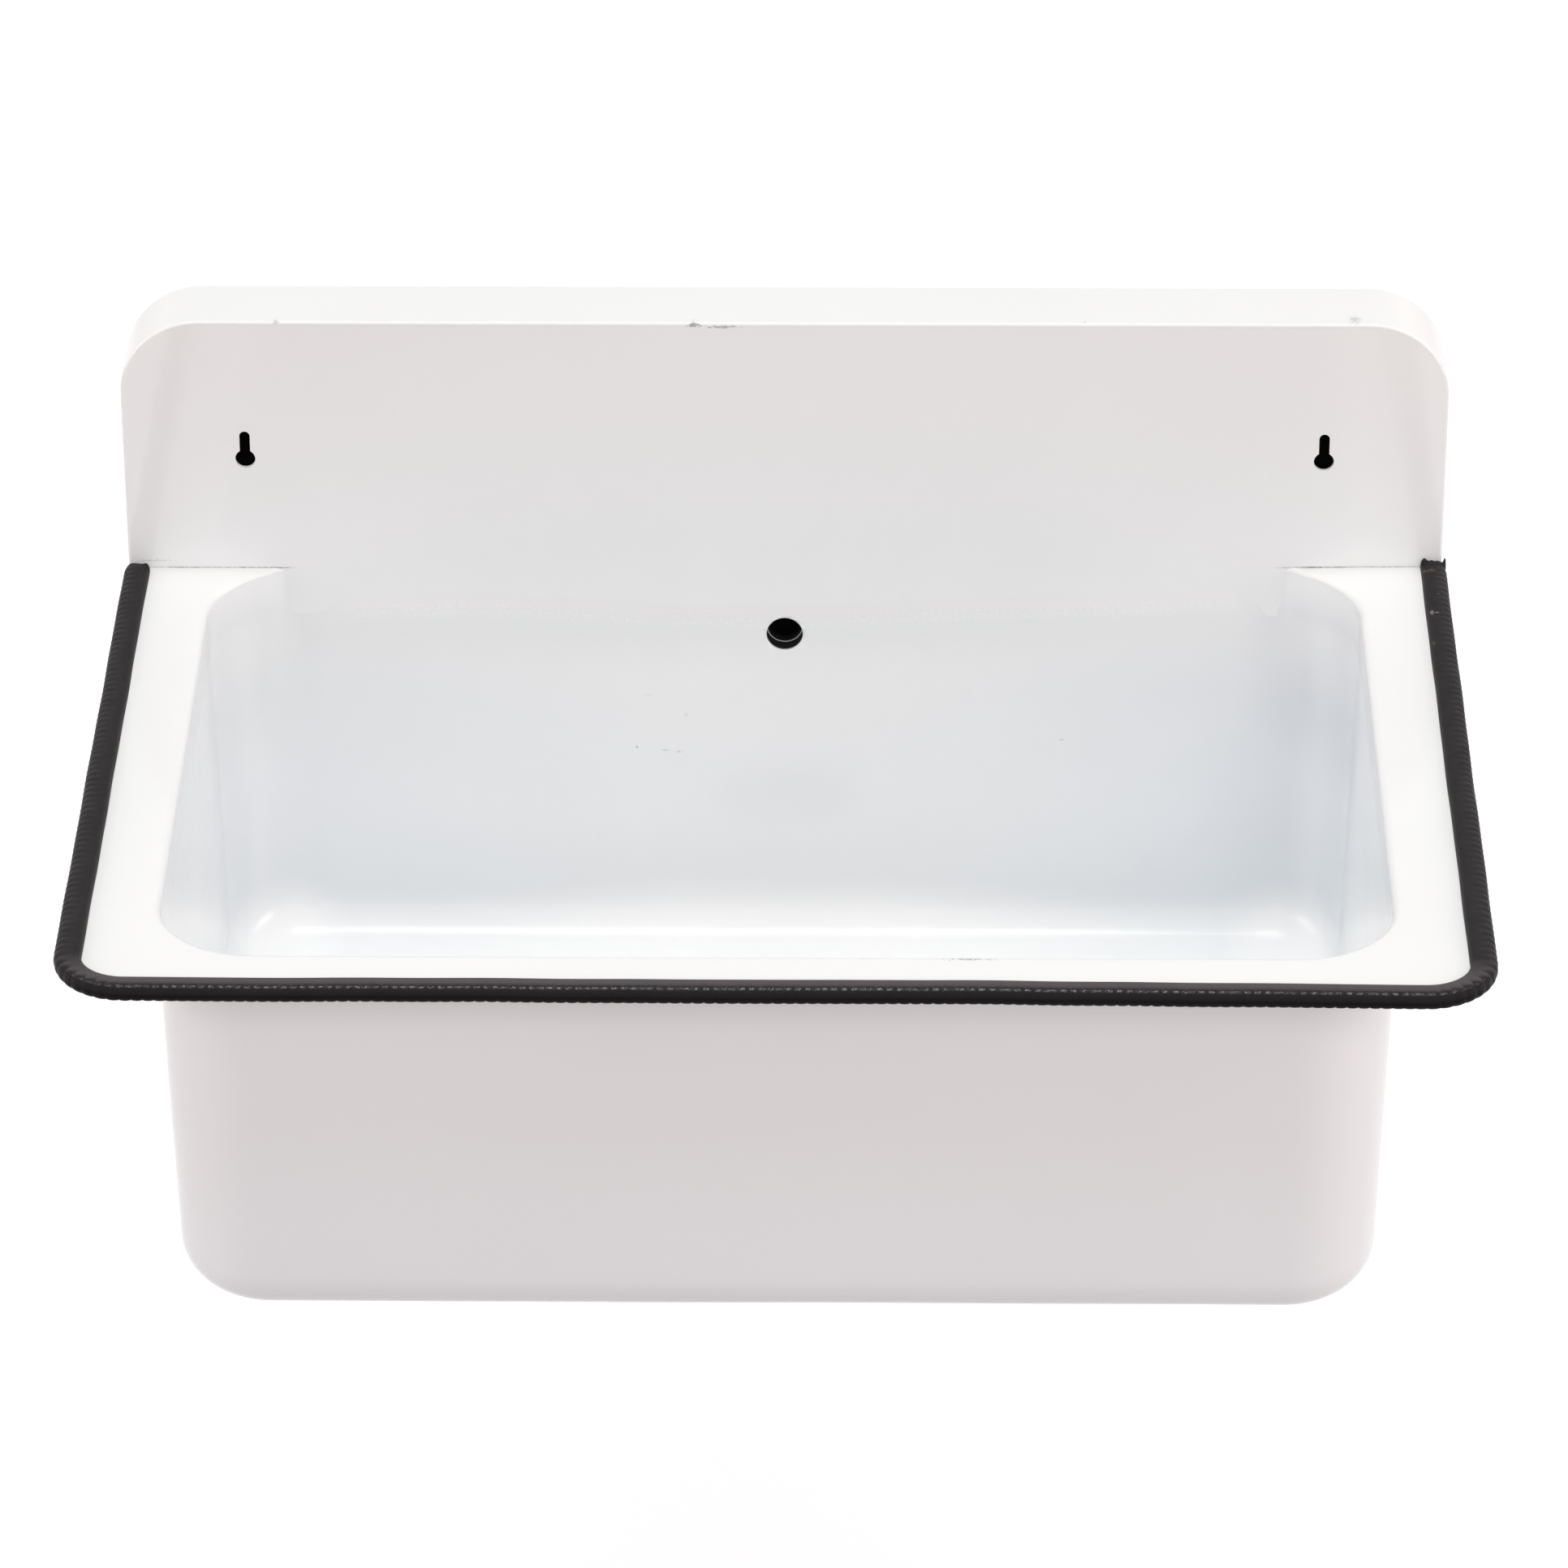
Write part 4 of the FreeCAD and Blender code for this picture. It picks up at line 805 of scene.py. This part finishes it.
def bowl_painted_light(tone, place, x, y, z):
    """Painted light and shade on the bowl: a paler floor as painted light, bluer and darker enamel low in the back
    and its corners as painted shade, paler side walls as painted light, a darker ledge as painted shade, and along
    the bend under the backsplash a painted highlight line between a painted pinkish reflection above and a painted
    greenish one below."""
    wide = abs(x)
    behind_lip = span(y, -0.375, -0.358)
    inside = behind_lip * span(wide, 0.288, 0.300, 1.0, 0.0)
    tilt = span(wide, 0.05, 0.18, 0.0, 0.014) * span(wide, 0.235, 0.265, 1.0, 0.0)
    low = inside * soft(z + tilt, -0.278, -0.244, 1.0, 0.0)
    high = 1.0 - low
    # Where the painted shade and light beside the middle lie: low in the back, on the side walls and in the back
    # corners
    masks = {
        "deep": soft(z, -0.14, -0.10, 1.0, 0.0) * soft(y, -0.10, -0.06) * high,
        "walls": soft(z, -0.10, -0.08, 1.0, 0.0) * behind_lip,
        "corners": soft(z, -0.090, -0.072, 1.0, 0.0) * soft(z, -0.19, -0.14) * span(y, -0.09, -0.06),
    }
    back = soft(z, -0.105, -0.08, 1.0, 0.0) * soft(y, -0.05, -0.03) * high
    # Painted light: the floor is made paler. Painted shade: the lower back wall is made darker
    tone = tinted(mixed(low, tone, PAINTED_FLOOR_LIGHT), back, PAINTED_BACK_SHADE)
    # Painted shade low in the back and corners, and painted light on the side walls
    for side, begins, full, mask, tint in PAINTED_SIDE_LIGHT:
        tone = tinted(tone, masks[mask] * soft(x * side, begins, full), tint)
    # Painted shade: the ledge's top is made a little darker
    tone = tinted(tone, span(z, -0.0690, -0.0665), PAINTED_LEDGE_SHADE)
    under = tagged(place.tree, "crease")
    near = soft(wide, 0.21, 0.26, 1.0, 0.0)
    # Painted highlight: pale flecks along the bend, between a painted pinkish reflection above and a painted
    # greenish one below
    glint_flecks = span(noise(place, 520.0, 4.0, 0.75), 0.48, 0.62)
    tone = tinted(tone, band(under, -4.0, 2.0, 4.0) * near, PAINTED_ABOVE_REFLECTION)
    tone = tinted(tone, band(under, 7.0, 3.0, 9.0) * near, PAINTED_BELOW_REFLECTION)
    return tinted(tone, band(under, 0.0, 2.5, 3.5) * near * glint_flecks, PAINTED_GLINT)


# Painted light: the enamel is tinted warmer high up and cooler low down, for the colour of the light there
PAINTED_WARM_LIGHT, PAINTED_COOL_SHADE = (1.0, 0.982, 0.968, 1), (0.975, 0.99, 1.0, 1)
# Painted shade: darker over the middle of the lower backsplash and the top of the back wall, and darker and bluer on
# the backsplash's top flange
PAINTED_MIDDLE_SHADE, PAINTED_FLANGE_SHADE = (0.945, 0.953, 0.950), (0.965, 0.975, 0.988)
# The seam's height and half its width, and how it rises with the ledge's raised corner
SEAM_LEVEL, SEAM_HALF, SEAM_RISE = -0.06475, 0.00022, -0.0026


def chip_mask(place):
    """How dark the enamel is at each place through chips, scratches and a few specks."""
    rough = span(noise(place, 900.0, 3.0), 0.35, 0.65, -0.6, 0.9)
    spots = [span(from_mark(place, middle, size) + rough, 0.8, 1.1, dark, 0.0) for middle, size, dark in CHIPS]
    specks = group_node("Specks", Place=place, Scale=24.0, Share=0.05, Size=0.018)["Mask"]
    return largest(*spots, specks * 0.6)


def seam_mask(place, x, y, z):
    """The thin dark broken line where the ledge meets the backsplash's face."""
    shake = span(noise(place, 60.0), 0.3, 0.7, -0.00015, 0.00015)
    level = z + soft(x, 0.12, 0.35, 0.0, SEAM_RISE) + shake
    line = band(level, SEAM_LEVEL, SEAM_HALF, 0.00025) * span(y, 0.0008, 0.0012, 1.0, 0.0)
    wide = abs(x)
    gaps = span(noise(place, 55.0, 4.0, 0.7), 0.42, 0.6, 0.45, 1.0)
    ragged = span(noise(place, 420.0, 3.0, 0.7), 0.40, 0.56, 0.35, 1.0)
    return line * span(wide, 0.258, 0.264) * gaps * ragged * span(wide, 0.27, 0.34, 1.0, 0.7)


def enamel_material(colours, name, seam):
    """Gloss white enamel: a soft ripple, slow drift of tone, a painted warm light high up and a painted cool shade
    low down, a painted shade over the middle of the back, and chips. The backsplash has the seam line and a painted
    shade on its top flange, and the bowl its painted light and shade and a grainy bend."""
    material, shader, place = start_material(name)
    x, y, z = split(place)
    drift = drifting(place, colours.enamel, 5.0, 0.012)
    # Painted light and shade: a warmer tint high up and a cooler one low down
    warm = mixed(soft(z, -0.08, 0.08), WHITE, PAINTED_WARM_LIGHT)
    cool = mixed(soft(z, -0.28, -0.10, 1.0, 0.0), WHITE, PAINTED_COOL_SHADE)
    tone = mixed(1.0, mixed(1.0, drift["Color"], warm, "MULTIPLY"), cool, "MULTIPLY")
    # Painted shade over the middle of the lower backsplash and the top of the back wall
    middle = (soft(abs(x), 0.10, 0.33, 1.0, 0.0) * soft(z, -0.05, 0.06, 1.0, 0.0) * span(z, -0.125, -0.09)
              * span(y, -0.03, -0.01))
    tone = tinted(tone, middle, PAINTED_MIDDLE_SHADE)
    chips = chip_mask(place)
    ripple = rippled(place, 170.0, 900.0, 0.12)
    if seam:
        # Painted shade: the top flange is made darker and bluer
        tone = tinted(tone, span(z, 0.0765, 0.0790), PAINTED_FLANGE_SHADE)
        chips = largest(chips, seam_mask(place, x, y, z))
    else:
        tone = bowl_painted_light(tone, place, x, y, z)
    height = scaled(chips, -0.6, ripple)
    if not seam:
        bend = band(tagged(place.tree, "crease"), 0.0, 0.8, 1.6)
        height = height + bend * noise(place, 1500.0, 2.0, 0.7) * 1.2
    dress(shader, Base_Color=mixed(chips, tone, (*colours.chip, 1)), IOR=1.52,
          Roughness=scaled(chips, 0.5, scaled(drift["Mask"], 0.02, 0.09)), Normal=bumped(0.10, 0.0006, height))
    return material


# Pale scuffs of the edging, in metres: middle, reach along x, y and z, and strength
SCUFFS = (
    ((0.3383, -0.0565, -0.058), (0.0012, 0.0035, 0.004), 0.8),
    ((0.3412, -0.0576, -0.058), (0.0022, 0.0009, 0.004), 0.7),
    ((0.3431, -0.0540, -0.058), (0.0016, 0.0008, 0.004), 0.5),
    ((0.3376, -0.0885, -0.058), (0.0010, 0.0030, 0.004), 0.35),
    ((0.3426, -0.0374, -0.058), (0.0014, 0.0008, 0.004), 0.3),
    ((0.3405, -0.0110, -0.058), (0.0030, 0.0030, 0.004), 0.25),
    ((0.3370, -0.0100, -0.058), (0.0014, 0.0016, 0.004), 0.4),
)
# The pale dust colour, which on the edging also stands in for painted sheen and painted highlight, and the scuffs'
# colour
DUST_AND_SHEEN, SCUFF = (0.090, 0.080, 0.088, 1), (0.24, 0.20, 0.17, 1)


def scuff_mask(place):
    """The pale scuffs, broken up by grit."""
    grit = span(noise(place, 420.0, 3.0), 0.42, 0.56)
    return largest(*(span(from_mark(place, middle, size), 0.5, 1.0, strength, 0.0) * grit
                     for middle, size, strength in SCUFFS))


def dust_and_sheen_mask(place, x, y, z, cloud):
    """Pale dust and painted sheen by the normal x, y, z: paler on top, behind the front run's top and at the sides,
    partly dust and partly painted sheen where more light falls, and pale lines in the grooves, partly dust and
    partly painted highlight along the ribs."""
    groove = tagged(place.tree, "groove")
    # Partly dust and partly painted sheen: paler on top, behind the front run's top and on the side faces
    settled_dust_and_sheen = span(z, 0.45, 0.95) * cloud * span(y, -0.55, -0.15, 0.2, 1.0)
    ahead = span(split(place)[1], -0.424, -0.400, 1.0, 0.0)
    sides = span(abs(x), 0.6, 0.95, 0.12, 0.26)
    rubbed_dust_and_sheen = largest(ahead * span(y, -0.30, -0.04, 0.0, 0.8), sides * span(z, 0.0, 0.2))
    # Pale lines in the grooves: partly dust and partly painted highlight along the ribs
    groove_dust_and_glint = groove * groove * span(z, -0.2, 0.5) * span(y, -0.5, -0.2) * cloud
    return scaled(groove_dust_and_glint, 0.5, scaled(settled_dust_and_sheen, 0.12, rubbed_dust_and_sheen))


def rubber_material(colours):
    """Black rubber of the edging: dust that is partly painted sheen and painted highlight, a fine grain, a broken
    gloss along the front where hands and buckets rub it, and pale scuffs on the right."""
    material, shader, place = start_material("edging_rubber")
    drift = drifting(place, colours.edging, 30.0, 0.25)
    x, y, z = split(Value(place.tree.nodes.new("ShaderNodeTexCoord").outputs["Normal"]))
    cloud = span(noise(place, 160.0, 4.0, 0.6), 0.3, 0.7, 0.3, 1.0)
    # Dust mixed with painted sheen and painted highlight
    colour = mixed(dust_and_sheen_mask(place, x, y, z, cloud), drift["Color"], DUST_AND_SHEEN)
    speckle = span(noise(place, 1100.0, 2.0, 0.7), 0.40, 0.60)
    dashes = span(tagged(place.tree, "dash") * speckle, 0.0, 0.625)
    worn = band(z, 0.90, 0.05, 0.05) * span(y, -0.45, -0.28, 1.0, 0.0) * dashes
    dress(shader, Base_Color=mixed(scuff_mask(place), colour, SCUFF), Roughness=scaled(drift["Mask"], 0.05, 0.45),
          Normal=bumped(0.35, 0.0003, rippled(place, 700.0, 2400.0, 0.6)), Specular_IOR_Level=0.05,
          Coat_Weight=worn, Coat_Roughness=0.10, Coat_IOR=1.9)
    return material


def plain_material(name, colour, roughness, grain, depth, drift_gain=0.03, metallic=0.0):
    """A moulded or rolled material: slow drift of tone, and a fine grain as bump."""
    material, shader, place = start_material(name)
    drift = drifting(place, colour, 40.0, drift_gain)
    dress(shader, Base_Color=drift["Color"], Roughness=scaled(drift["Mask"], 0.05, roughness), Metallic=metallic,
          Normal=bumped(0.3, depth, rippled(place, grain, grain * 5, 0.5)))
    return material


# The elbow's bore, in metres: where its bend begins, its middle's height, the bend's radius, and a
# little more than the bore's own radius
ELBOW_START, ELBOW_LEVEL, ELBOW_BEND, ELBOW_BORE = 0.013, -0.1037, 0.012, 0.0092


def bore_mask(x, y, z):
    """1 inside the elbow's bore: a straight run, a quarter bend and a run down, each by the distance
    from its middle line."""
    high, past = z - ELBOW_LEVEL, y - ELBOW_START
    over = high + ELBOW_BEND
    straight = (reach(x, high) < ELBOW_BORE) * (past < 0.0)
    curve = (reach(x, reach(past, over) - ELBOW_BEND) < ELBOW_BORE) * (past > 0.0) * (over > 0.0)
    down = (reach(x, past - ELBOW_BEND) < ELBOW_BORE) * (over < 0.0)
    return largest(straight, curve, down)


def elbow_material(name, colour, dark):
    """Moulded plastic whose bore is painted dark: painted shade, as little light reaches inside."""
    material, shader, place = start_material(name)
    inside = bore_mask(*split(place))
    # Painted shade: the bore is near black
    clean, bore_shade = drifting(place, colour, 40.0, 0.03), drifting(place, dark, 90.0, 0.3)
    dress(shader, Base_Color=mixed(inside, clean["Color"], bore_shade["Color"]), Roughness=scaled(inside, 0.5, 0.32),
          Normal=bumped(0.3, 0.0002, rippled(place, 260.0, 1300.0, 0.5)))
    return material


def brushed_material(name, colour, roughness, scale):
    """Turned metal: fine rings round the drain's axis in bump and roughness."""
    material, shader, place = start_material(name)
    brushed = group_node("Brushed", Place=place, Scale=scale, Base_Roughness=roughness)
    dress(shader, Base_Color=drifting(place, colour, 60.0, 0.06)["Color"], Roughness=brushed["Roughness"],
          Metallic=1.0, Normal=bumped(0.15, 0.0001, brushed["Height"]))
    return material


def cover(material, *names):
    """Put one material on CAD nodes."""
    for name in names:
        mesh = frame["nodes"][name].data
        mesh.materials.clear()
        mesh.materials.append(material)


def stand_for(made, node_name, body, material):
    """Dress a new piece, let it stand for its CAD node and ride on its body."""
    made.data.materials.append(material)
    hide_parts(node_name)
    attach(made, body)


class SINK_OT_bowl(bpy.types.Operator):
    """Enamelled bowl: inner walls, ledge and underside as one closed sheet"""
    bl_idname = "sink.bowl"
    bl_label = "Bowl"

    def execute(self, context):
        sizes = context.scene.sink_bowl
        made = grid_object("enamel_bowl", bowl_surface(sizes), close_rows=True, close_columns=True)
        cutter = overflow_cutter(sizes)
        cut = made.modifiers.new("overflow", "BOOLEAN")
        cut.object, cut.operation, cut.solver = cutter, "DIFFERENCE", "EXACT"
        apply_modifiers(made)
        bpy.data.objects.remove(cutter)
        tag_points(made, "crease", under_crease(made))
        material = enamel_material(context.scene.sink_finish, "bowl_enamel", False)
        stand_for(made, "bowl", "sink", material)
        return {"FINISHED"}


# The back wall's points: how far to the sides and forward they go, and the value of all others
WALL_HALF, WALL_FRONT, ELSEWHERE = 275, -12, 99.0


def under_crease(made):
    """How many millimetres each point of the back wall lies under the bend, and 99 elsewhere."""
    flat = np.empty(len(made.data.vertices) * 3, dtype=np.float32)
    made.data.vertices.foreach_get("co", flat)
    x, y, z = flat.reshape(-1, 3).T / MM
    under = (LEDGE_TOP - z) - np.interp(x, *CREASE)
    return np.where((np.abs(x) < WALL_HALF) & (y > WALL_FRONT), under, ELSEWHERE)


def overflow_cutter(sizes):
    """A round bar through the back wall at the overflow hole: a circle carried along y."""
    turn = np.linspace(0, 2 * math.pi, 65)[:-1]
    lengths = np.array([-14.0, 10.0])
    x = sizes.overflow_radius * np.cos(turn)[None] + lengths[:, None] * 0
    z = LEDGE_TOP - sizes.overflow_drop + sizes.overflow_radius * np.sin(turn)[None] + lengths[:, None] * 0
    y = lengths[:, None] + turn[None] * 0
    return grid_object("overflow_bar", np.stack([x, y, z], -1) * MM, close_columns=True, cap_ends=True)


def apply_modifiers(made):
    """Make the modified mesh the object's own."""
    graph = bpy.context.evaluated_depsgraph_get()
    mesh = bpy.data.meshes.new_from_object(made.evaluated_get(graph))
    made.modifiers.clear()
    made.data = mesh


class SINK_OT_backsplash(bpy.types.Operator):
    """Enamelled backsplash and overflow stub"""
    bl_idname = "sink.backsplash"
    bl_label = "Backsplash"

    def execute(self, context):
        cover(enamel_material(context.scene.sink_finish, "backsplash_enamel", True), "backsplash")
        # The stub's inside: dark ground coat and painted shade
        ground_and_shade = context.scene.sink_finish.ground_and_shade
        cover(plain_material("ground_coat_and_shade", ground_and_shade, 0.75, 300.0, 0.0002), "overflow_stub")
        return {"FINISHED"}


class SINK_OT_edging(bpy.types.Operator):
    """Ribbed rubber edging round the ledge, and its steel strip"""
    bl_idname = "sink.edging"
    bl_label = "Edging"

    def execute(self, context):
        colours = context.scene.sink_finish
        sizes, corner = context.scene.sink_edging, context.scene.sink_bowl.ledge_corner
        points, groove, dash = edging_surface(sizes, corner)
        made = grid_object("ribbed_edging", points, cap_ends=True, close_columns=True)
        tag_points(made, "groove", groove)
        tag_points(made, "dash", dash)
        stand_for(made, "edge_trim", "sink", rubber_material(colours))
        strip = grid_object("carrier_strip", strip_surface(sizes, corner), cap_ends=True, close_columns=True)
        strip.data.polygons.foreach_set("use_smooth", np.zeros(len(strip.data.polygons), bool))
        steel = plain_material("carrier_steel", colours.strip, 0.4, 300.0, 0.0002, 0.08, 1.0)
        stand_for(strip, "trim_carrier", "sink", steel)
        return {"FINISHED"}


class SINK_OT_waste(bpy.types.Operator):
    """Waste: flange, strainer, knob, screw and threaded insert"""
    bl_idname = "sink.waste"
    bl_label = "Waste"

    def execute(self, context):
        colours = context.scene.sink_finish
        cover(brushed_material("brushed_stainless", colours.steel, 0.28, 500.0), *NODES_OF_SLOT["stainless_steel"])
        cover(brushed_material("turned_brass", colours.brass, 0.3, 400.0), *NODES_OF_SLOT["brass"])
        return {"FINISHED"}


class SINK_OT_plumbing(bpy.types.Operator):
    """Plastic collector, pipes and nuts, and all the rubber seals"""
    bl_idname = "sink.plumbing"
    bl_label = "Plumbing"

    def execute(self, context):
        colours = context.scene.sink_finish
        cover(plain_material("moulded_waste", colours.waste, 0.32, 260.0, 0.0002), *NODES_OF_SLOT["waste_plastic"])
        cover(elbow_material("moulded_elbow", colours.waste, colours.ground_and_shade), "overflow_elbow")
        cover(plain_material("moulded_nut", colours.nut, 0.45, 900.0, 0.0002), *NODES_OF_SLOT["nut_plastic"])
        cover(plain_material("matt_rubber", colours.seal, 0.62, 1200.0, 0.0002, 0.2), *NODES_OF_SLOT["seal_rubber"])
        return {"FINISHED"}


# The stage, in metres: half the floor's width, the keyholes' middles and the height lamps aim at; the floor's
# colours and the near black of the cards, which are painted shade behind the keyholes; the camera's sensor in mm,
# its place, and its yaw, pitch and roll
FLOOR_REACH, KEYHOLE_X, AIM_HEIGHT = 12.0, 0.283, -0.15
FLOOR_TONES = ((0.93, 0.95, 0.97, 1), (0.94, 0.96, 0.98, 1))
SHADE_CARD_TONES = ((0.001, 0.001, 0.001, 1), (0.003, 0.003, 0.003, 1))
SENSOR, CAMERA_PLACE, CAMERA_TURN = 36.0, (0.0463, -3.5752, 1.8467), (-0.752, 29.735, -0.182)


class SINK_OT_stage(bpy.types.Operator):
    """Pale floor, white surround, lamps, black cards behind the keyholes as painted shade, and camera"""
    bl_idname = "sink.stage"
    bl_label = "Stage"

    def execute(self, context):
        scene, studio = context.scene, context.scene.sink_studio
        scene.view_settings.view_transform = "Standard"
        scene.world = surround(studio)
        floor_and_cards(studio)
        lamps(studio, scene.collection)
        camera = bpy.data.cameras.new("photo_camera")
        camera.lens, camera.sensor_width = studio.lens, SENSOR
        camera.clip_start, camera.clip_end = 0.1, 60.0
        viewer = bpy.data.objects.new("photo_camera", camera)
        viewer.matrix_world = camera_place()
        scene.collection.objects.link(viewer)
        scene.camera = viewer
        return {"FINISHED"}


def direct(tree):
    """1 for rays that see a surface, and 0 for those that only gather its light."""
    path = tree.nodes.new("ShaderNodeLightPath").outputs
    return largest(*(Value(path["Is %s Ray" % kind]) for kind in ("Camera", "Glossy", "Transmission")))


def surround(studio):
    """A world that looks white, and lights the sink as the surround's colour."""
    world = bpy.data.worlds.new("studio_surround")
    world.use_nodes = True
    tree = world.node_tree
    tree.nodes.clear()
    tint = mixed(direct(tree), (*studio.surround, 1), WHITE)
    backdrop = made_from("ShaderNodeBackground", {"Color": tint, "Strength": 1.0})
    dress(tree.nodes.new("ShaderNodeOutputWorld"), Surface=backdrop)
    return world


def floor_and_cards(studio):
    """The floor, which is as bright as the surround to the eye, and a near black card behind each keyhole as painted
    shade, for the dark space behind the backsplash.
    """
    shares = np.linspace(-FLOOR_REACH, FLOOR_REACH, 9)
    flat = np.stack([*np.meshgrid(shares, shares), np.full((9, 9), -studio.floor_drop)], -1)
    paint, shader, place = start_material("floor_paint")
    seen = direct(place.tree)
    pale = mixed(span(noise(place, 2.0, 3.0), 0.3, 0.7), *FLOOR_TONES)
    haze = seen * span(length(place), 1.0, 3.2, 0.14, 0.55)
    dress(shader, Base_Color=mixed(seen, (*studio.bounce, 1), pale), Roughness=0.9, Specular_IOR_Level=0.0,
          Emission_Color=WHITE, Emission_Strength=haze)
    # Painted shade: near black cards where the dark space behind the backsplash shows through the keyholes
    dark, shader, place = start_material("painted_shade_card")
    dress(shader, Base_Color=mixed(noise(place, 900.0), *SHADE_CARD_TONES), Roughness=1.0, Specular_IOR_Level=0.0)
    for name, points, material, closed in (("studio_floor", flat, paint, False),
                                           ("shade_card_left", keyhole_shade_card(-KEYHOLE_X), dark, True),
                                           ("shade_card_right", keyhole_shade_card(KEYHOLE_X), dark, True)):
        made = grid_object(name, points, close_columns=closed)
        made.data.materials.append(material)


def lamps(studio, collection):
    """The lamps: each one's place, size, power and tint. Two point straight down, and the others at
    the sink. Neither the widest one nor the front one is mirrored."""
    for name, place, size, power, tint in (
            ("top", (0.0, -0.8, 4.0), (3.4, 2.6), studio.top, studio.above_tint),
            ("tube", (0.0, 0.06, 1.52), (1.3, 0.04), studio.tube, studio.above_tint),
            ("strip", (-0.06, -0.03, 1.52), (0.64, 0.5), studio.strip, studio.above_tint),
            ("left", (-2.3, -0.4, 0.5), (1.5, 1.5), studio.left, studio.level_tint),
            ("right", (2.3, -0.4, 0.5), (1.5, 1.5), studio.right, studio.level_tint),
            ("front", (0.4, -3.0, 1.6), (2.0, 1.4), studio.front, studio.level_tint)):
        data = bpy.data.lights.new(name + "_lamp", "AREA")
        data.shape, data.size, data.size_y = "RECTANGLE", *size
        data.energy, data.color = power, tint
        lamp = bpy.data.objects.new(name + "_lamp", data)
        lamp.location = place
        aim = Vector((*place[:2], AIM_HEIGHT) if name in ("tube", "strip") else (0.0, -0.2, AIM_HEIGHT))
        lamp.rotation_euler = (aim - lamp.location).to_track_quat("-Z", "Y").to_euler()
        lamp.visible_glossy = name not in ("top", "front")
        collection.objects.link(lamp)


# A keyhole's card of painted shade, in mm: the round part's radius, half the slot's width and the slot's end
CARD_ROUND, CARD_SLOT, CARD_END, CARD_BEHIND = 6.2, 3.7, 17.4, 2.2


def keyhole_shade_card(middle):
    """A near black card of painted shade behind a keyhole, 1 mm wider all round. Round the round part's middle its
    edge is at the greater of the circle's radius and the distance to the sides or the end of the slot above it."""
    turn = np.linspace(0, 2 * math.pi, 97)[:-1]
    cosine, sine = np.cos(turn), np.sin(turn)
    slot = np.minimum(CARD_SLOT / np.maximum(np.abs(cosine), 1e-6), CARD_END / np.maximum(sine, 1e-6))
    edge = np.where(sine > 0, np.maximum(slot, CARD_ROUND), CARD_ROUND) * MM
    out = np.stack([edge * 0, edge])
    return np.stack([middle + out * cosine, out * 0 + CARD_BEHIND * MM, out * sine], -1)


def camera_place():
    """The camera's place and turn: yaw, pitch and roll about its own axes, as solved from the sink."""
    yaw, pitch, roll = (math.radians(angle) for angle in CAMERA_TURN)
    ahead = np.array([math.sin(yaw) * math.cos(pitch), math.cos(yaw) * math.cos(pitch), -math.sin(pitch)])
    level = np.array([math.cos(yaw), -math.sin(yaw), 0.0])
    upright = np.cross(level, ahead)
    right = math.cos(roll) * level + math.sin(roll) * upright
    up = math.cos(roll) * upright - math.sin(roll) * level
    place = Matrix.Identity(4)
    for row in range(3):
        place[row][0], place[row][1], place[row][2] = right[row], up[row], -ahead[row]
    place.translation = CAMERA_PLACE
    return place


class SINK_PT_panel(bpy.types.Panel):
    """Lists the sink's pieces and their sizes and colours"""
    bl_idname = "SINK_PT_panel"
    bl_label = "Bucket sink"
    bl_space_type = "VIEW_3D"
    bl_region_type = "UI"
    bl_category = "Sink"

    def draw(self, context):
        for operator in OPERATORS:
            self.layout.operator(operator.bl_idname)
        for name, group in SETTINGS.items():
            box = self.layout.box()
            for key in group.__annotations__:
                box.prop(getattr(context.scene, name), key)


OPERATORS = (SINK_OT_bowl, SINK_OT_backsplash, SINK_OT_edging, SINK_OT_waste, SINK_OT_plumbing, SINK_OT_stage)
CLASSES = (*SETTINGS.values(), *OPERATORS, SINK_PT_panel)


def register():
    for item in CLASSES:
        bpy.utils.register_class(item)
    for name, group in SETTINGS.items():
        setattr(bpy.types.Scene, name, bpy.props.PointerProperty(type=group))


def unregister():
    for name in SETTINGS:
        delattr(bpy.types.Scene, name)
    for item in reversed(CLASSES):
        bpy.utils.unregister_class(item)


def main():
    register()
    make_groups()
    bpy.ops.sink.bowl()
    bpy.ops.sink.backsplash()
    bpy.ops.sink.edging()
    bpy.ops.sink.waste()
    bpy.ops.sink.plumbing()
    bpy.ops.sink.stage()


if __name__ == "__main__":
    main()
